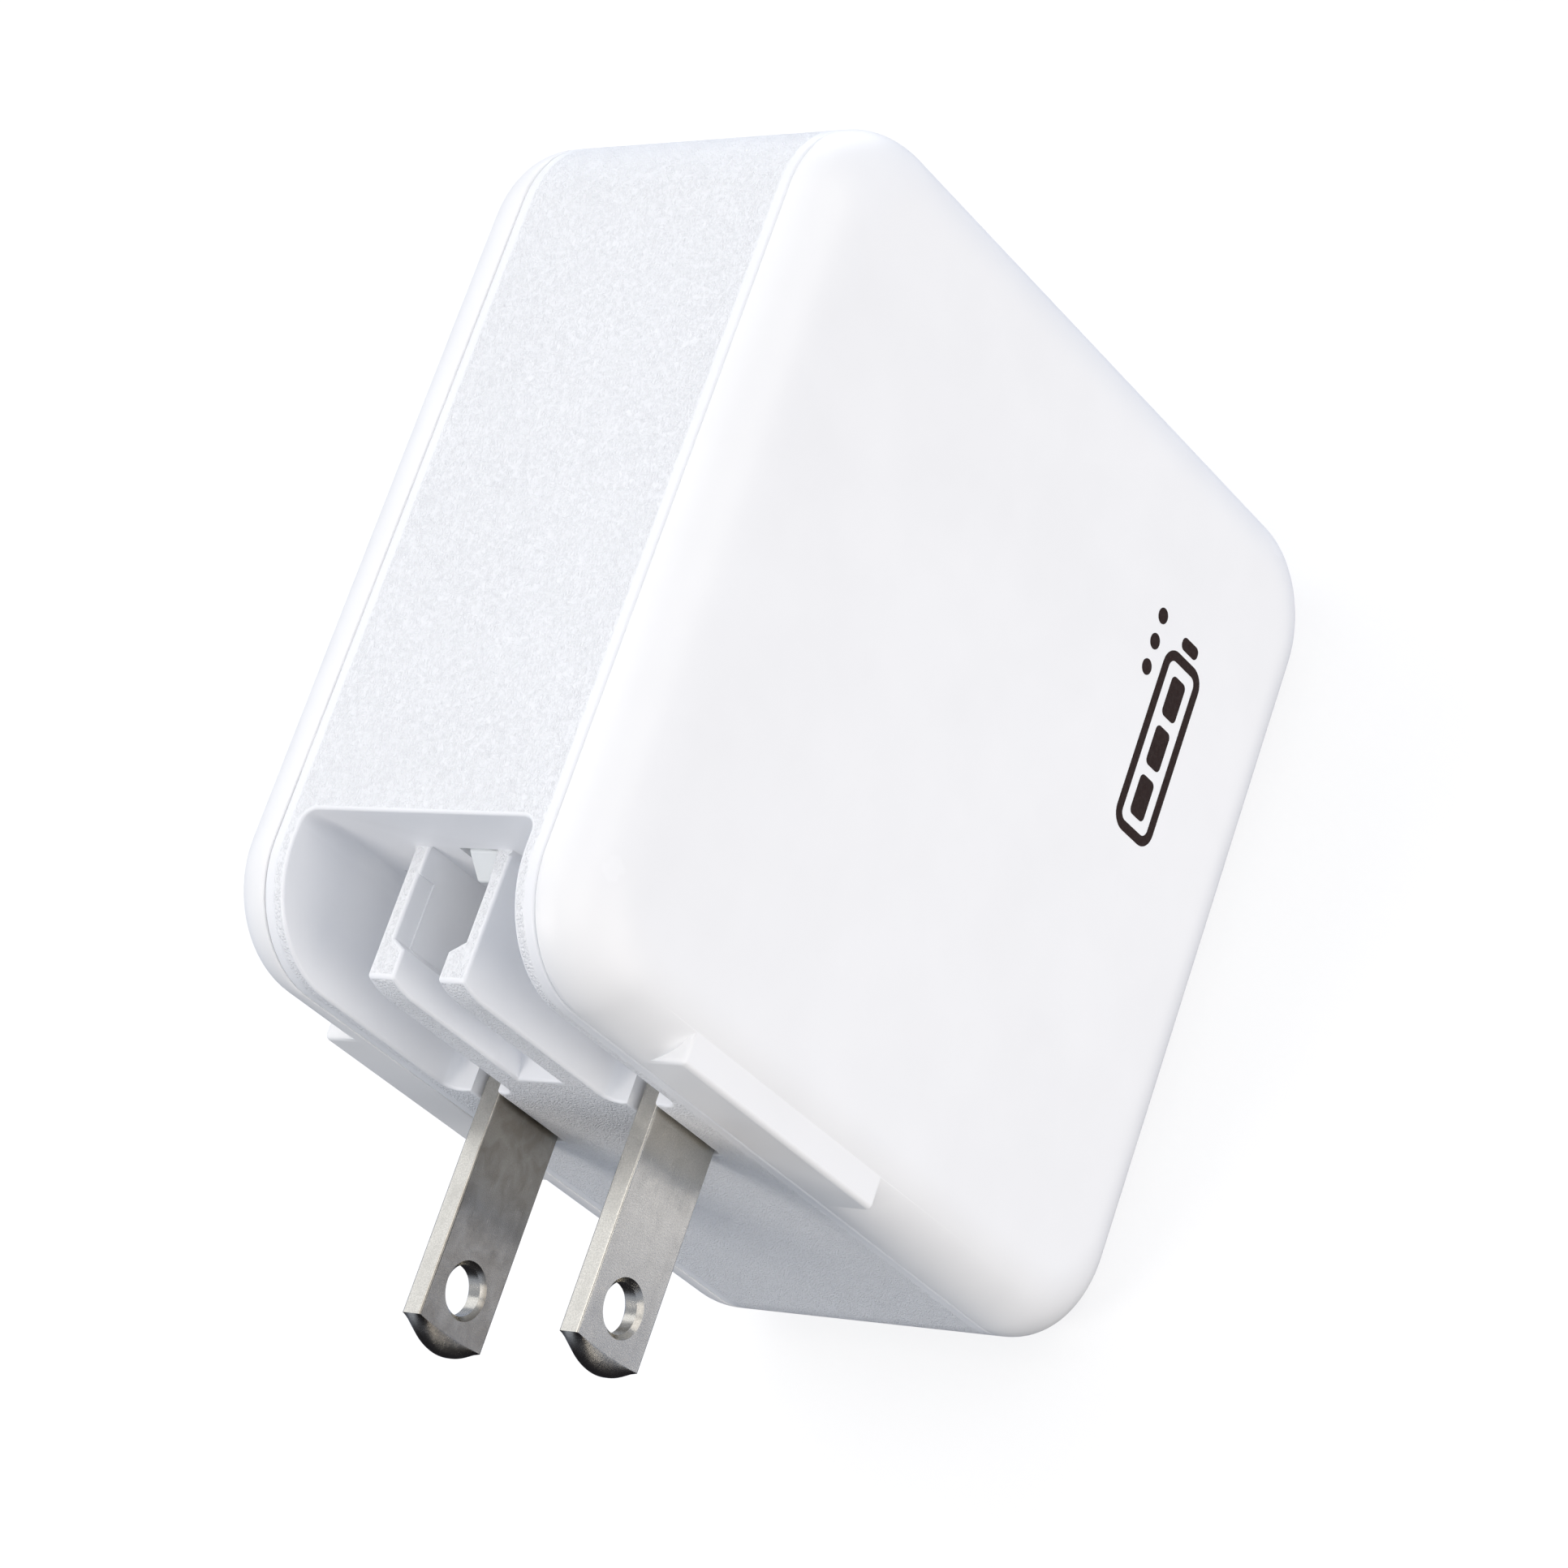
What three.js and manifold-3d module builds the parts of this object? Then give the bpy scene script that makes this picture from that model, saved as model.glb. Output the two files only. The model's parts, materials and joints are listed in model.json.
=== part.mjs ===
// A square USB wall charger with fold-out flat blades. Millimetres, +Z up.
// The body stands on its narrow lower side. +X faces out of the front cover, -Y out of the plug
// side (the blades point that way when they are folded out), and +Y out of the port side.
// The blades turn about an axle along X and fold up into the slots of the plug side.
import * as THREE from "three";
import { mergeVertices } from "three/addons/utils/BufferGeometryUtils.js";
import Module from "manifold-3d";

const wasm = await Module();
wasm.setup();

// ---- Driving dimensions -------------------------------------------------------------------

const BODY_DEPTH = 60; // plug side to port side, along Y
const BODY_HEIGHT = 60; // lower side to upper side, along Z
const BODY_THICKNESS = 30; // back cover to front cover, along X
const CORNER_RADIUS = 7.2; // of the body outline, seen from the front

const FRAME_HALF = 10.8; // half the width of the frame band between the covers
const FRAME_WALL = 2;
const SEAM = 0.2; // gap between the band and each cover
const COVER_EDGE = 4.5; // how far the rounded cover edge reaches over the face
const COVER_WALL = 1.6;
const LIP_DEPTH = 1.5; // the cover's lip inside the frame band
const LIP_WALL = 1.2;
const CLEARANCE = 0.3; // between pieces that are assembled loosely

const BLADE_OUT = 15.9; // blade length outside the plug side
const BLADE_WIDTH = 6.35;
const BLADE_THICKNESS = 1.5;
const BLADE_PITCH = 12.7; // between the middles of the two blades
const BLADE_HOLE_OUT = 11.7; // hole centre, from the plug side
const BLADE_HOLE_RADIUS = 1.6;
const BLADE_TIP_SAG = 1.3; // height of the arc at the blade's end

const PIVOT_DROP = 23.8; // blade axle, below the upper side
const PIVOT_DEPTH = 3.6; // blade axle, inside the plug side
const ROTOR_RADIUS = 2.4;
const ROTOR_CORE_RADIUS = 1;
const TRUNNION_RADIUS = 1.6;
const TRUNNION_END = 8.9;

const POCKET_HALF = 9.2; // half the width of the pocket and of the outer slot walls
const POCKET_DEPTH = 9.2; // from the plug side to the pocket's ceiling
const SLOT_STEP = 8; // where the slots' back walls start to slope
const SLOT_SLOPE_END = 15.4; // where the slope ends
const SLOT_DEPTH = 7.4; // depth of the two blade slots below the slope
const SLOT_RECESS = 0.35; // recess in the sloping walls, beside the ribs
const SLOT_RECESS_EDGE = 7.5;
const SLOT_END = 20; // lower end of the two wide slots
const RIB_TOP = 4.6; // how far the ribs are sunk below the upper side
const RIB_INNER = 1.75;
const RIB_OUTER = 3.9;
const GROOVE_DEPTH = 2.6; // the shallow groove between the ribs
const GROOVE_END = 18.2;
const WINDOW_BACK = 9.35; // back wall of the latch window between the ribs
const WINDOW_END = 14;
const HOUSING_WALL = 1.6;
const HOUSING_WALL_END = 15.8; // lower end of the wall behind the pocket and the window
const HOUSING_DEPTH = 8.2; // solid part of the frame that carries the blade rotor
const HOUSING_END = 31;

const RAIL_START = 13.3; // adapter rails on the covers, below the upper side
const RAIL_END = 34.2;
const RAIL_HEIGHT = 2.7;
const RAIL_FACE = 14.5; // distance of the rail's outer face from the middle plane

const PORT_PITCH = 14.4; // between neighbouring port centres
const PORT_RECESS = 0.6; // shells end this far inside the port side
const PORT_LENGTH = 11.4;
const SHELL_WALL = 0.3;

const BOARD_THICKNESS = 1.4;
const MAIN_BOARD_X = -8.8; // rear face of the main board

// ---- Positions that follow from them ----------------------------------------------------------

const PLUG_Y = -(BODY_DEPTH - BLADE_OUT) / 2; // the origin is in the middle of the whole length
const inside = (depth) => PLUG_Y + depth; // Y at a depth behind the plug side
const below = (drop) => BODY_HEIGHT - drop; // Z at a drop below the upper side
const PIVOT_Y = inside(PIVOT_DEPTH);
const PIVOT_Z = below(PIVOT_DROP);
const HALF_THICKNESS = BODY_THICKNESS / 2;
const COVER_START = FRAME_HALF + SEAM;
const BLADE_X = BLADE_PITCH / 2;
const BLADE_SWEEP = BLADE_WIDTH / 2 + CLEARANCE; // room round the blade's rounded root
const CHANNEL_HALF = BLADE_THICKNESS / 2 + 0.35; // half the narrow channel beside each blade
const BOARD_TOP_X = MAIN_BOARD_X + BOARD_THICKNESS;
const PORT_BOARD_Y = inside(BODY_DEPTH - PORT_RECESS - PORT_LENGTH - BOARD_THICKNESS);
const SHELL_START_Y = PORT_BOARD_Y + BOARD_THICKNESS + 0.1;
const SHELL_END_Y = inside(BODY_DEPTH - PORT_RECESS);

// Straight pieces per arc: three.js draws an absarc with twice this number.
const CURVE = 2;
const BODY_CURVE = 5;

// ---- Making solids ------------------------------------------------------------------------------

/** A three.js geometry as a Manifold solid. */
function solid(geometry) {
  const bare = geometry.index ? geometry.clone() : geometry;
  bare.deleteAttribute("normal");
  bare.deleteAttribute("uv");
  const merged = mergeVertices(bare, 1e-4);
  const mesh = new wasm.Mesh({
    numProp: 3,
    vertProperties: new Float32Array(merged.attributes.position.array),
    triVerts: new Uint32Array(merged.index.array),
  });
  return new wasm.Manifold(mesh);
}

/** A Manifold solid as a three.js geometry. */
function geometryOf(manifold) {
  const { vertProperties, triVerts } = manifold.getMesh();
  const geometry = new THREE.BufferGeometry();
  geometry.setAttribute("position", new THREE.BufferAttribute(vertProperties, 3));
  geometry.setIndex(new THREE.BufferAttribute(triVerts, 1));
  geometry.computeVertexNormals();
  return geometry;
}

/** A box between two corners. */
function block([x0, y0, z0], [x1, y1, z1]) {
  const geometry = new THREE.BoxGeometry(Math.abs(x1 - x0), Math.abs(y1 - y0), Math.abs(z1 - z0));
  geometry.translate((x0 + x1) / 2, (y0 + y1) / 2, (z0 + z1) / 2);
  return solid(geometry);
}

const X_BASIS = new THREE.Matrix4().makeBasis(
  new THREE.Vector3(0, 1, 0),
  new THREE.Vector3(0, 0, 1),
  new THREE.Vector3(1, 0, 0),
);
const Y_BASIS = new THREE.Matrix4().makeBasis(
  new THREE.Vector3(0, 0, 1),
  new THREE.Vector3(1, 0, 0),
  new THREE.Vector3(0, 1, 0),
);

/** A Shape drawn in the (Y, Z) plane, extruded along X from x0 to x1. */
function prismX(shape, x0, x1, curveSegments = CURVE, bevel = {}) {
  const settings = { depth: x1 - x0, bevelEnabled: false, curveSegments, ...bevel };
  const geometry = new THREE.ExtrudeGeometry(shape, settings);
  geometry.translate(0, 0, x0);
  geometry.applyMatrix4(X_BASIS);
  return solid(geometry);
}

/** A Shape drawn in the (Z, X) plane, extruded along Y from y0 to y1. */
function prismY(shape, y0, y1, curveSegments = CURVE) {
  const settings = { depth: y1 - y0, bevelEnabled: false, curveSegments };
  const geometry = new THREE.ExtrudeGeometry(shape, settings);
  geometry.translate(0, 0, y0);
  geometry.applyMatrix4(Y_BASIS);
  return solid(geometry);
}

/** A cylinder along X. */
function rodX(radius, x0, x1, y, z, sides = 20) {
  const geometry = new THREE.CylinderGeometry(radius, radius, x1 - x0, sides);
  geometry.rotateZ(-Math.PI / 2);
  geometry.translate((x0 + x1) / 2, y, z);
  return solid(geometry);
}

/** A cylinder along Y. */
function rodY(radius, y0, y1, x, z, sides = 16) {
  const geometry = new THREE.CylinderGeometry(radius, radius, y1 - y0, sides);
  geometry.translate(x, (y0 + y1) / 2, z);
  return solid(geometry);
}

/** A closed outline of straight lines through points. */
function polygon(points) {
  return new THREE.Shape(points.map(([u, v]) => new THREE.Vector2(u, v)));
}

/** A rectangle with round corners, between two corner points. */
function roundedRectangle(u0, v0, u1, v1, radius) {
  const shape = new THREE.Shape();
  shape.moveTo(u0 + radius, v0);
  shape.lineTo(u1 - radius, v0);
  shape.absarc(u1 - radius, v0 + radius, radius, -Math.PI / 2, 0);
  shape.lineTo(u1, v1 - radius);
  shape.absarc(u1 - radius, v1 - radius, radius, 0, Math.PI / 2);
  shape.lineTo(u0 + radius, v1);
  shape.absarc(u0 + radius, v1 - radius, radius, Math.PI / 2, Math.PI);
  shape.lineTo(u0, v0 + radius);
  shape.absarc(u0 + radius, v0 + radius, radius, Math.PI, 1.5 * Math.PI);
  return shape;
}

/** The body's outline in the (Y, Z) plane, moved inwards by an inset. */
function bodyOutline(inset) {
  const radius = CORNER_RADIUS - inset;
  return roundedRectangle(
    inside(inset), inset, inside(BODY_DEPTH - inset), BODY_HEIGHT - inset, Math.max(radius, 0.6),
  );
}

/** Joins a list of solids. */
function join(first, ...others) {
  return others.reduce((whole, next) => whole.add(next), first);
}

/** Cuts a list of solids out of one. */
function cut(whole, ...cutters) {
  return cutters.reduce((rest, cutter) => rest.subtract(cutter), whole);
}

const SIDES = [-1, 1];

/** A box given by depth and drop, mirrored to either side of the middle plane. */
function sideBlock(side, [x0, x1], [depth0, depth1], [drop0, drop1]) {
  return block([side * x0, inside(depth0), below(drop0)], [side * x1, inside(depth1), below(drop1)]);
}

// ---- Materials ----------------------------------------------------------------------------------

function material(color, roughness, metalness = 0) {
  return new THREE.MeshStandardMaterial({ color, roughness, metalness });
}

const WHITE_GRAINED = material(0xf1f3f6, 0.55);
const WHITE_SATIN = material(0xf6f6f6, 0.45);
const NICKEL = material(0xb9b8b0, 0.3, 1);
const STEEL = material(0x9a9a98, 0.35, 1);
const BRONZE = material(0xb08050, 0.35, 1);
const INNER_PLASTIC = material(0xd8dcde, 0.5);
const BLACK_PLASTIC = material(0x1c1c1e, 0.5);
const BOARD_GREEN = material(0x1f5a3a, 0.5);
const FERRITE = material(0x3a3a3c, 0.7);
const TAPE_YELLOW = material(0xd9b13a, 0.45);
const COPPER_WIRE = material(0xb4622d, 0.35, 0.9);
const CAPACITOR_SLEEVE = material(0x2a2d33, 0.4);
const CAPACITOR_YELLOW = material(0xd8b640, 0.5);
const DISC_BLUE = material(0x2b6fb5, 0.5);
const ALUMINIUM = material(0xb4b8bc, 0.4, 1);
const PAD_GREY = material(0x8f9aa3, 0.8);
const SHEET_AMBER = material(0xc08a3a, 0.4);
const LEAD_RED = material(0xa8201c, 0.5);

// ---- The part -------------------------------------------------------------------------------------

const charger = new THREE.Group();
charger.name = "usb_wall_charger";
const fixed = new THREE.Group();
const plug = new THREE.Group();
charger.add(fixed, plug);

/** Adds one named piece to a group. */
function piece(group, name, manifold, pieceMaterial) {
  const mesh = new THREE.Mesh(geometryOf(manifold), pieceMaterial);
  mesh.name = name;
  group.add(mesh);
}

// Middle frame: a band with the pocket, the blade slots and the rotor housing moulded in.

/** The latch window seen from above: it notches the inner side of both ribs. */
function windowOutline(wide, end) {
  const low = GROOVE_DEPTH - 0.2;
  const right = [[RIB_INNER, inside(low)], [wide, inside(low + 0.7)], [wide, inside(end)]];
  const left = right.map(([x, y]) => [-x, y]).reverse();
  return polygon([[0, inside(low + 0.6)], ...right, ...left]);
}

/** The latch window: a shaft with a leaning front wall and a small ledge in its notches. */
function latchWindow() {
  const levels = [
    [RIB_INNER + 1.1, RIB_TOP + 1.5, 7.4],
    [RIB_INNER + 1.0, WINDOW_END, WINDOW_BACK],
  ];
  const [notched, deep] = levels.map(([wide, bottom, end]) => {
    const settings = { depth: bottom - RIB_TOP + 1, bevelEnabled: false };
    const geometry = new THREE.ExtrudeGeometry(windowOutline(wide, end), settings);
    geometry.translate(0, 0, below(bottom));
    return solid(geometry);
  });
  const side = polygon([
    [inside(2), below(RIB_TOP - 2)], [inside(2), below(7.9)], [inside(4.8), below(WINDOW_END + 0.1)],
    [inside(WINDOW_BACK + 0.1), below(WINDOW_END + 0.1)], [inside(WINDOW_BACK + 0.1), below(RIB_TOP)],
    [inside(POCKET_DEPTH - 0.05), below(RIB_TOP)], [inside(POCKET_DEPTH - 0.05), below(RIB_TOP - 2)],
  ]);
  return join(notched, deep).intersect(prismX(side, -FRAME_HALF, FRAME_HALF));
}

/** The opening between the ribs: a groove with a curved floor from the upper to the plug side. */
function ribGroove() {
  const floor = new THREE.Shape();
  const bend = 2.4;
  const topFloor = below(RIB_TOP + GROOVE_DEPTH);
  floor.moveTo(inside(-1), below(GROOVE_END));
  floor.lineTo(inside(GROOVE_DEPTH), below(GROOVE_END - 1.2));
  floor.lineTo(inside(GROOVE_DEPTH), topFloor - bend);
  floor.quadraticCurveTo(inside(GROOVE_DEPTH), topFloor, inside(GROOVE_DEPTH + bend), topFloor);
  floor.lineTo(inside(POCKET_DEPTH), topFloor);
  floor.lineTo(inside(POCKET_DEPTH), BODY_HEIGHT + 1);
  floor.lineTo(inside(-1), BODY_HEIGHT + 1);
  return prismX(floor, -RIB_INNER, RIB_INNER);
}

const CATCH_X = [0.15, 2.45];
const CATCH_FOOT = POCKET_DEPTH + HOUSING_WALL + CLEARANCE;

/** The passage from the window to the inside, which the catch reaches through. */
function catchPassage() {
  return block(
    [-0.65, inside(POCKET_DEPTH), below(7.6)],
    [CATCH_X[1] + 0.3, inside(CATCH_FOOT + 1), below(RIB_TOP + 0.05)],
  );
}

/** The room for the rotor, open towards the inside of the charger. */
function rotorRoom() {
  const back = inside(HOUSING_DEPTH + 1);
  const hubRoom = ROTOR_RADIUS + CLEARANCE;
  const trunnionRoom = TRUNNION_RADIUS + CLEARANCE;
  const channelIn = BLADE_X - CHANNEL_HALF;
  const channelOut = BLADE_X + CHANNEL_HALF;
  const rooms = [
    rodX(hubRoom, -channelIn - 0.1, channelIn + 0.1, PIVOT_Y, PIVOT_Z, 28),
    block([-channelIn - 0.1, PIVOT_Y, PIVOT_Z - hubRoom], [channelIn + 0.1, back, PIVOT_Z + hubRoom]),
  ];
  for (const side of SIDES) {
    const [x0, x1] = side < 0 ? [-channelOut, -channelIn] : [channelIn, channelOut];
    const [t0, t1] = side < 0 ? [-POCKET_HALF, -channelOut + 0.1] : [channelOut - 0.1, POCKET_HALF];
    rooms.push(
      rodX(BLADE_SWEEP, x0, x1, PIVOT_Y, PIVOT_Z, 28),
      block([x0, PIVOT_Y, PIVOT_Z - BLADE_SWEEP], [x1, back, PIVOT_Z + BLADE_SWEEP]),
      sideBlock(side, [channelIn, channelOut], [-1, PIVOT_DEPTH],
        [SLOT_END - 1, PIVOT_DROP + BLADE_SWEEP]),
      sideBlock(side, [channelIn, channelOut], [PIVOT_DEPTH - 0.1, SLOT_DEPTH],
        [SLOT_END - 1, PIVOT_DROP]),
      rodX(trunnionRoom, t0, t1, PIVOT_Y, PIVOT_Z),
      block([t0, PIVOT_Y, PIVOT_Z - trunnionRoom], [t1, back, PIVOT_Z + trunnionRoom]),
    );
  }
  return rooms;
}

const SCREW_DROP = 29.2;
const SCREW_X = 4;
const SCREW_RADIUS = 0.85;
const SCREW_ROOM = SCREW_RADIUS + CLEARANCE;

/** The port openings: a list of {name, z, half sizes along Z and X, corner radius}. */
const USB_C = { halfLong: 4.5, halfHigh: 1.6, radius: 1.5 };
const USB_A = { halfLong: 6.6, halfHigh: 2.85, radius: 0.6 };
const PORTS = [
  { name: "usb_c_1", kind: USB_C, z: BODY_HEIGHT / 2 + PORT_PITCH },
  { name: "usb_c_2", kind: USB_C, z: BODY_HEIGHT / 2 + 1.2 },
  { name: "usb_a", kind: USB_A, z: BODY_HEIGHT / 2 - PORT_PITCH },
];

/** A port outline in the (Z, X) plane, grown by an amount. */
function portOutline({ kind, z }, grow) {
  const long = kind.halfLong + grow;
  const high = kind.halfHigh + grow;
  return roundedRectangle(z - long, -high, z + long, high, kind.radius + grow);
}

function middleFrame() {
  const whole = prismX(bodyOutline(0), -FRAME_HALF, FRAME_HALF, BODY_CURVE);
  const hollow = prismX(bodyOutline(FRAME_WALL), -FRAME_HALF - 1, FRAME_HALF + 1);
  const housing = join(
    sideBlock(1, [-FRAME_HALF, FRAME_HALF], [0, HOUSING_DEPTH], [0, HOUSING_END]),
    sideBlock(1, [-FRAME_HALF, FRAME_HALF], [0, POCKET_DEPTH + HOUSING_WALL],
      [0, HOUSING_WALL_END]),
  ).intersect(whole);
  let frame = whole.subtract(hollow).add(housing);
  const pocket = sideBlock(1, [-POCKET_HALF, POCKET_HALF], [-1, POCKET_DEPTH], [-1, RIB_TOP]);
  const slot = polygon([
    [inside(-1), below(-1)], [inside(POCKET_DEPTH), below(-1)],
    [inside(POCKET_DEPTH), below(SLOT_STEP)], [inside(SLOT_DEPTH), below(SLOT_SLOPE_END)],
    [inside(SLOT_DEPTH), below(SLOT_END)], [inside(-1), below(SLOT_END)],
  ]);
  const recessDepth = POCKET_DEPTH + SLOT_RECESS;
  const recessEnd = SLOT_SLOPE_END + 0.3;
  const recess = polygon([
    [inside(POCKET_DEPTH - 1), below(SLOT_STEP)], [inside(recessDepth), below(SLOT_STEP)],
    [inside(recessDepth), below(SLOT_STEP + 0.8)], [inside(SLOT_DEPTH), below(recessEnd)],
    [inside(SLOT_DEPTH - 1), below(recessEnd)],
  ]);
  const slots = [
    prismX(slot, -POCKET_HALF, -RIB_OUTER), prismX(slot, RIB_OUTER, POCKET_HALF),
    prismX(recess, -SLOT_RECESS_EDGE, -RIB_OUTER), prismX(recess, RIB_OUTER, SLOT_RECESS_EDGE),
  ];
  frame = cut(frame, pocket, ...slots, ribGroove(), latchWindow(), catchPassage(),
    ...rotorRoom());
  const pilots = SIDES.map((side) =>
    rodY(SCREW_ROOM, inside(4), inside(HOUSING_DEPTH + 1), side * SCREW_X, below(SCREW_DROP)));
  const openings = PORTS.map((port) =>
    prismY(portOutline(port, 0.25), inside(BODY_DEPTH - FRAME_WALL - 1), inside(BODY_DEPTH + 1)));
  return cut(frame, ...pilots, ...openings);
}

piece(fixed, "middle_frame", middleFrame(), WHITE_GRAINED);

// Covers: shells with rounded edges, an inner lip and an adapter rail.

/** A slab over the body outline with elliptical edges, from the middle plane to halfThickness. */
function roundedSlab(inset, halfThickness, edgeOut, start, curve) {
  const rise = halfThickness - start;
  const bevel = {
    bevelEnabled: true,
    bevelThickness: rise,
    bevelSize: edgeOut,
    bevelOffset: -edgeOut,
    bevelSegments: curve + 1,
  };
  return prismX(bodyOutline(inset), -start, start, curve, bevel);
}

function cover(side) {
  const far = BODY_DEPTH;
  const range = (x0, x1) => block([side * x0, -far, -1], [side * x1, far, BODY_HEIGHT + 1]);
  const outer = roundedSlab(0, HALF_THICKNESS, COVER_EDGE, COVER_START, BODY_CURVE);
  const inner = roundedSlab(COVER_WALL, HALF_THICKNESS - COVER_WALL, COVER_EDGE - 1, COVER_START,
    CURVE);
  const shell = outer.intersect(range(COVER_START, HALF_THICKNESS + 1));
  const lipInset = FRAME_WALL + CLEARANCE;
  const reach = HALF_THICKNESS + 1;
  const lipHollow = prismX(bodyOutline(lipInset + LIP_WALL), -reach, reach);
  const lip = prismX(bodyOutline(lipInset), -reach, reach)
    .intersect(range(FRAME_HALF - LIP_DEPTH, COVER_START + 1));
  const shoulder = outer.intersect(range(COVER_START, COVER_START + 1.2));
  const housingRoom = sideBlock(side, [0, COVER_START], [-1, POCKET_DEPTH + HOUSING_WALL + 1],
    [-1, HOUSING_END + 1]);
  const portRoom = block(
    [side * (FRAME_HALF - LIP_DEPTH - 1), inside(BODY_DEPTH - 20), 6],
    [side * COVER_START, inside(BODY_DEPTH + 1), BODY_HEIGHT - 6],
  );
  const rail = block(
    [side * COVER_START, inside(0), below(RAIL_END)],
    [side * RAIL_FACE, inside(RAIL_HEIGHT), below(RAIL_START)],
  );
  const hollow = inner.intersect(range(COVER_START - 1, HALF_THICKNESS));
  const step = shoulder.add(cut(lip, housingRoom, portRoom)).subtract(lipHollow);
  return shell.add(rail).subtract(hollow).add(step);
}

/** Posts of the back cover that carry the main board. */
function boardPosts() {
  const postRadius = 1.6;
  return [16, 43].flatMap((depth) =>
    [9, 51].map((drop) =>
      rodX(postRadius, -HALF_THICKNESS + 1, MAIN_BOARD_X - 0.05, inside(depth), below(drop), 16)));
}

piece(fixed, "front_cover", cover(1), WHITE_SATIN);
piece(fixed, "back_cover", join(cover(-1), ...boardPosts()), WHITE_SATIN);

// Folding plug: two blades and the moulded rotor that carries them.

/** A blade's outline in the (Y, Z) plane, folded out: round root, arc tip. */
function bladeOutline() {
  const half = BLADE_WIDTH / 2;
  const tip = inside(-BLADE_OUT);
  const shoulder = tip + BLADE_TIP_SAG;
  const tipRadius = (half * half + BLADE_TIP_SAG * BLADE_TIP_SAG) / (2 * BLADE_TIP_SAG);
  const tipAngle = Math.asin(half / tipRadius);
  const shape = new THREE.Shape();
  shape.moveTo(shoulder, PIVOT_Z - half);
  shape.lineTo(PIVOT_Y, PIVOT_Z - half);
  shape.absarc(PIVOT_Y, PIVOT_Z, half, -Math.PI / 2, Math.PI / 2);
  shape.lineTo(shoulder, PIVOT_Z + half);
  shape.absarc(tip + tipRadius, PIVOT_Z, tipRadius, Math.PI - tipAngle, Math.PI + tipAngle);
  return shape;
}

for (const [name, side] of [["blade_left", -1], ["blade_right", 1]]) {
  const x0 = side * BLADE_X - BLADE_THICKNESS / 2;
  const x1 = side * BLADE_X + BLADE_THICKNESS / 2;
  const plate = prismX(bladeOutline(), x0, x1, BODY_CURVE);
  const hole = rodX(BLADE_HOLE_RADIUS, x0 - 1, x1 + 1, inside(-BLADE_HOLE_OUT), PIVOT_Z);
  const coreHole = rodX(ROTOR_CORE_RADIUS + CLEARANCE, x0 - 1, x1 + 1, PIVOT_Y, PIVOT_Z);
  piece(plug, name, cut(plate, hole, coreHole), NICKEL);
}

/** The hub between the blades with its two detent flats, the core through them, and the trunnions. */
function bladeRotor() {
  const hubEnd = BLADE_X - BLADE_THICKNESS / 2 - 0.1;
  const trunnionStart = BLADE_X + BLADE_THICKNESS / 2 + 0.1;
  const flat = ROTOR_RADIUS - 0.35;
  const flatLength = 3;
  const reach = ROTOR_RADIUS + 1;
  const hub = cut(
    rodX(ROTOR_RADIUS, -hubEnd, hubEnd, PIVOT_Y, PIVOT_Z, 28),
    block([-flatLength, PIVOT_Y + flat, PIVOT_Z - reach], [flatLength, PIVOT_Y + reach, PIVOT_Z + reach]),
    block([-flatLength, PIVOT_Y - reach, PIVOT_Z - reach], [flatLength, PIVOT_Y + reach, PIVOT_Z - flat]),
  );
  return join(
    hub,
    rodX(ROTOR_CORE_RADIUS, -trunnionStart - 0.2, trunnionStart + 0.2, PIVOT_Y, PIVOT_Z),
    rodX(TRUNNION_RADIUS, -TRUNNION_END, -trunnionStart, PIVOT_Y, PIVOT_Z),
    rodX(TRUNNION_RADIUS, trunnionStart, TRUNNION_END, PIVOT_Y, PIVOT_Z),
  );
}

piece(plug, "blade_rotor", bladeRotor(), INNER_PLASTIC);

// Behind the rotor: the cradle that closes its bearings, two screws, and the springs.

const CRADLE_FRONT = HOUSING_DEPTH + CLEARANCE;
const CRADLE_BACK = CRADLE_FRONT + 1.5;
const SPRING_THICKNESS = 0.3;
const CONTACT_HALF = 0.7;

function rotorCradle() {
  const edge = FRAME_HALF - LIP_DEPTH - 0.6;
  const plate = sideBlock(1, [-edge, edge], [CRADLE_FRONT, CRADLE_BACK], [17, HOUSING_END - 0.4]);
  const fingers = SIDES.map((side) =>
    sideBlock(side, [7.9, 8.8], [PIVOT_DEPTH + TRUNNION_RADIUS + CLEARANCE, CRADLE_FRONT + 0.5],
      [PIVOT_DROP - 1.5, PIVOT_DROP + 1.5]));
  const contactSlots = SIDES.map((side) =>
    sideBlock(side, [BLADE_X - 1.05, BLADE_X + 1.05], [CRADLE_FRONT - 1, CRADLE_BACK + 1],
      [PIVOT_DROP - 0.2, PIVOT_DROP + 2.2]));
  const screwHoles = SIDES.map((side) =>
    rodY(SCREW_ROOM, inside(CRADLE_FRONT - 1), inside(CRADLE_BACK + 1), side * SCREW_X,
      below(SCREW_DROP)));
  return cut(join(plate, ...fingers), ...contactSlots, ...screwHoles);
}

piece(fixed, "rotor_cradle", rotorCradle(), INNER_PLASTIC);

SIDES.forEach((side, index) => {
  const x = side * SCREW_X;
  const z = below(SCREW_DROP);
  const headStart = inside(CRADLE_BACK);
  const shank = rodY(SCREW_RADIUS, inside(4.4), headStart + 0.1, x, z);
  const head = rodY(1.7, headStart, headStart + 1.1, x, z);
  const drive = block([x - 1.1, headStart + 0.6, z - 0.2], [x + 1.1, headStart + 2, z + 0.2]);
  const crossDrive = block([x - 0.2, headStart + 0.6, z - 1.1], [x + 0.2, headStart + 2, z + 1.1]);
  piece(fixed, `cradle_screw_${index + 1}`, cut(join(shank, head), drive, crossDrive), STEEL);
});

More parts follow.
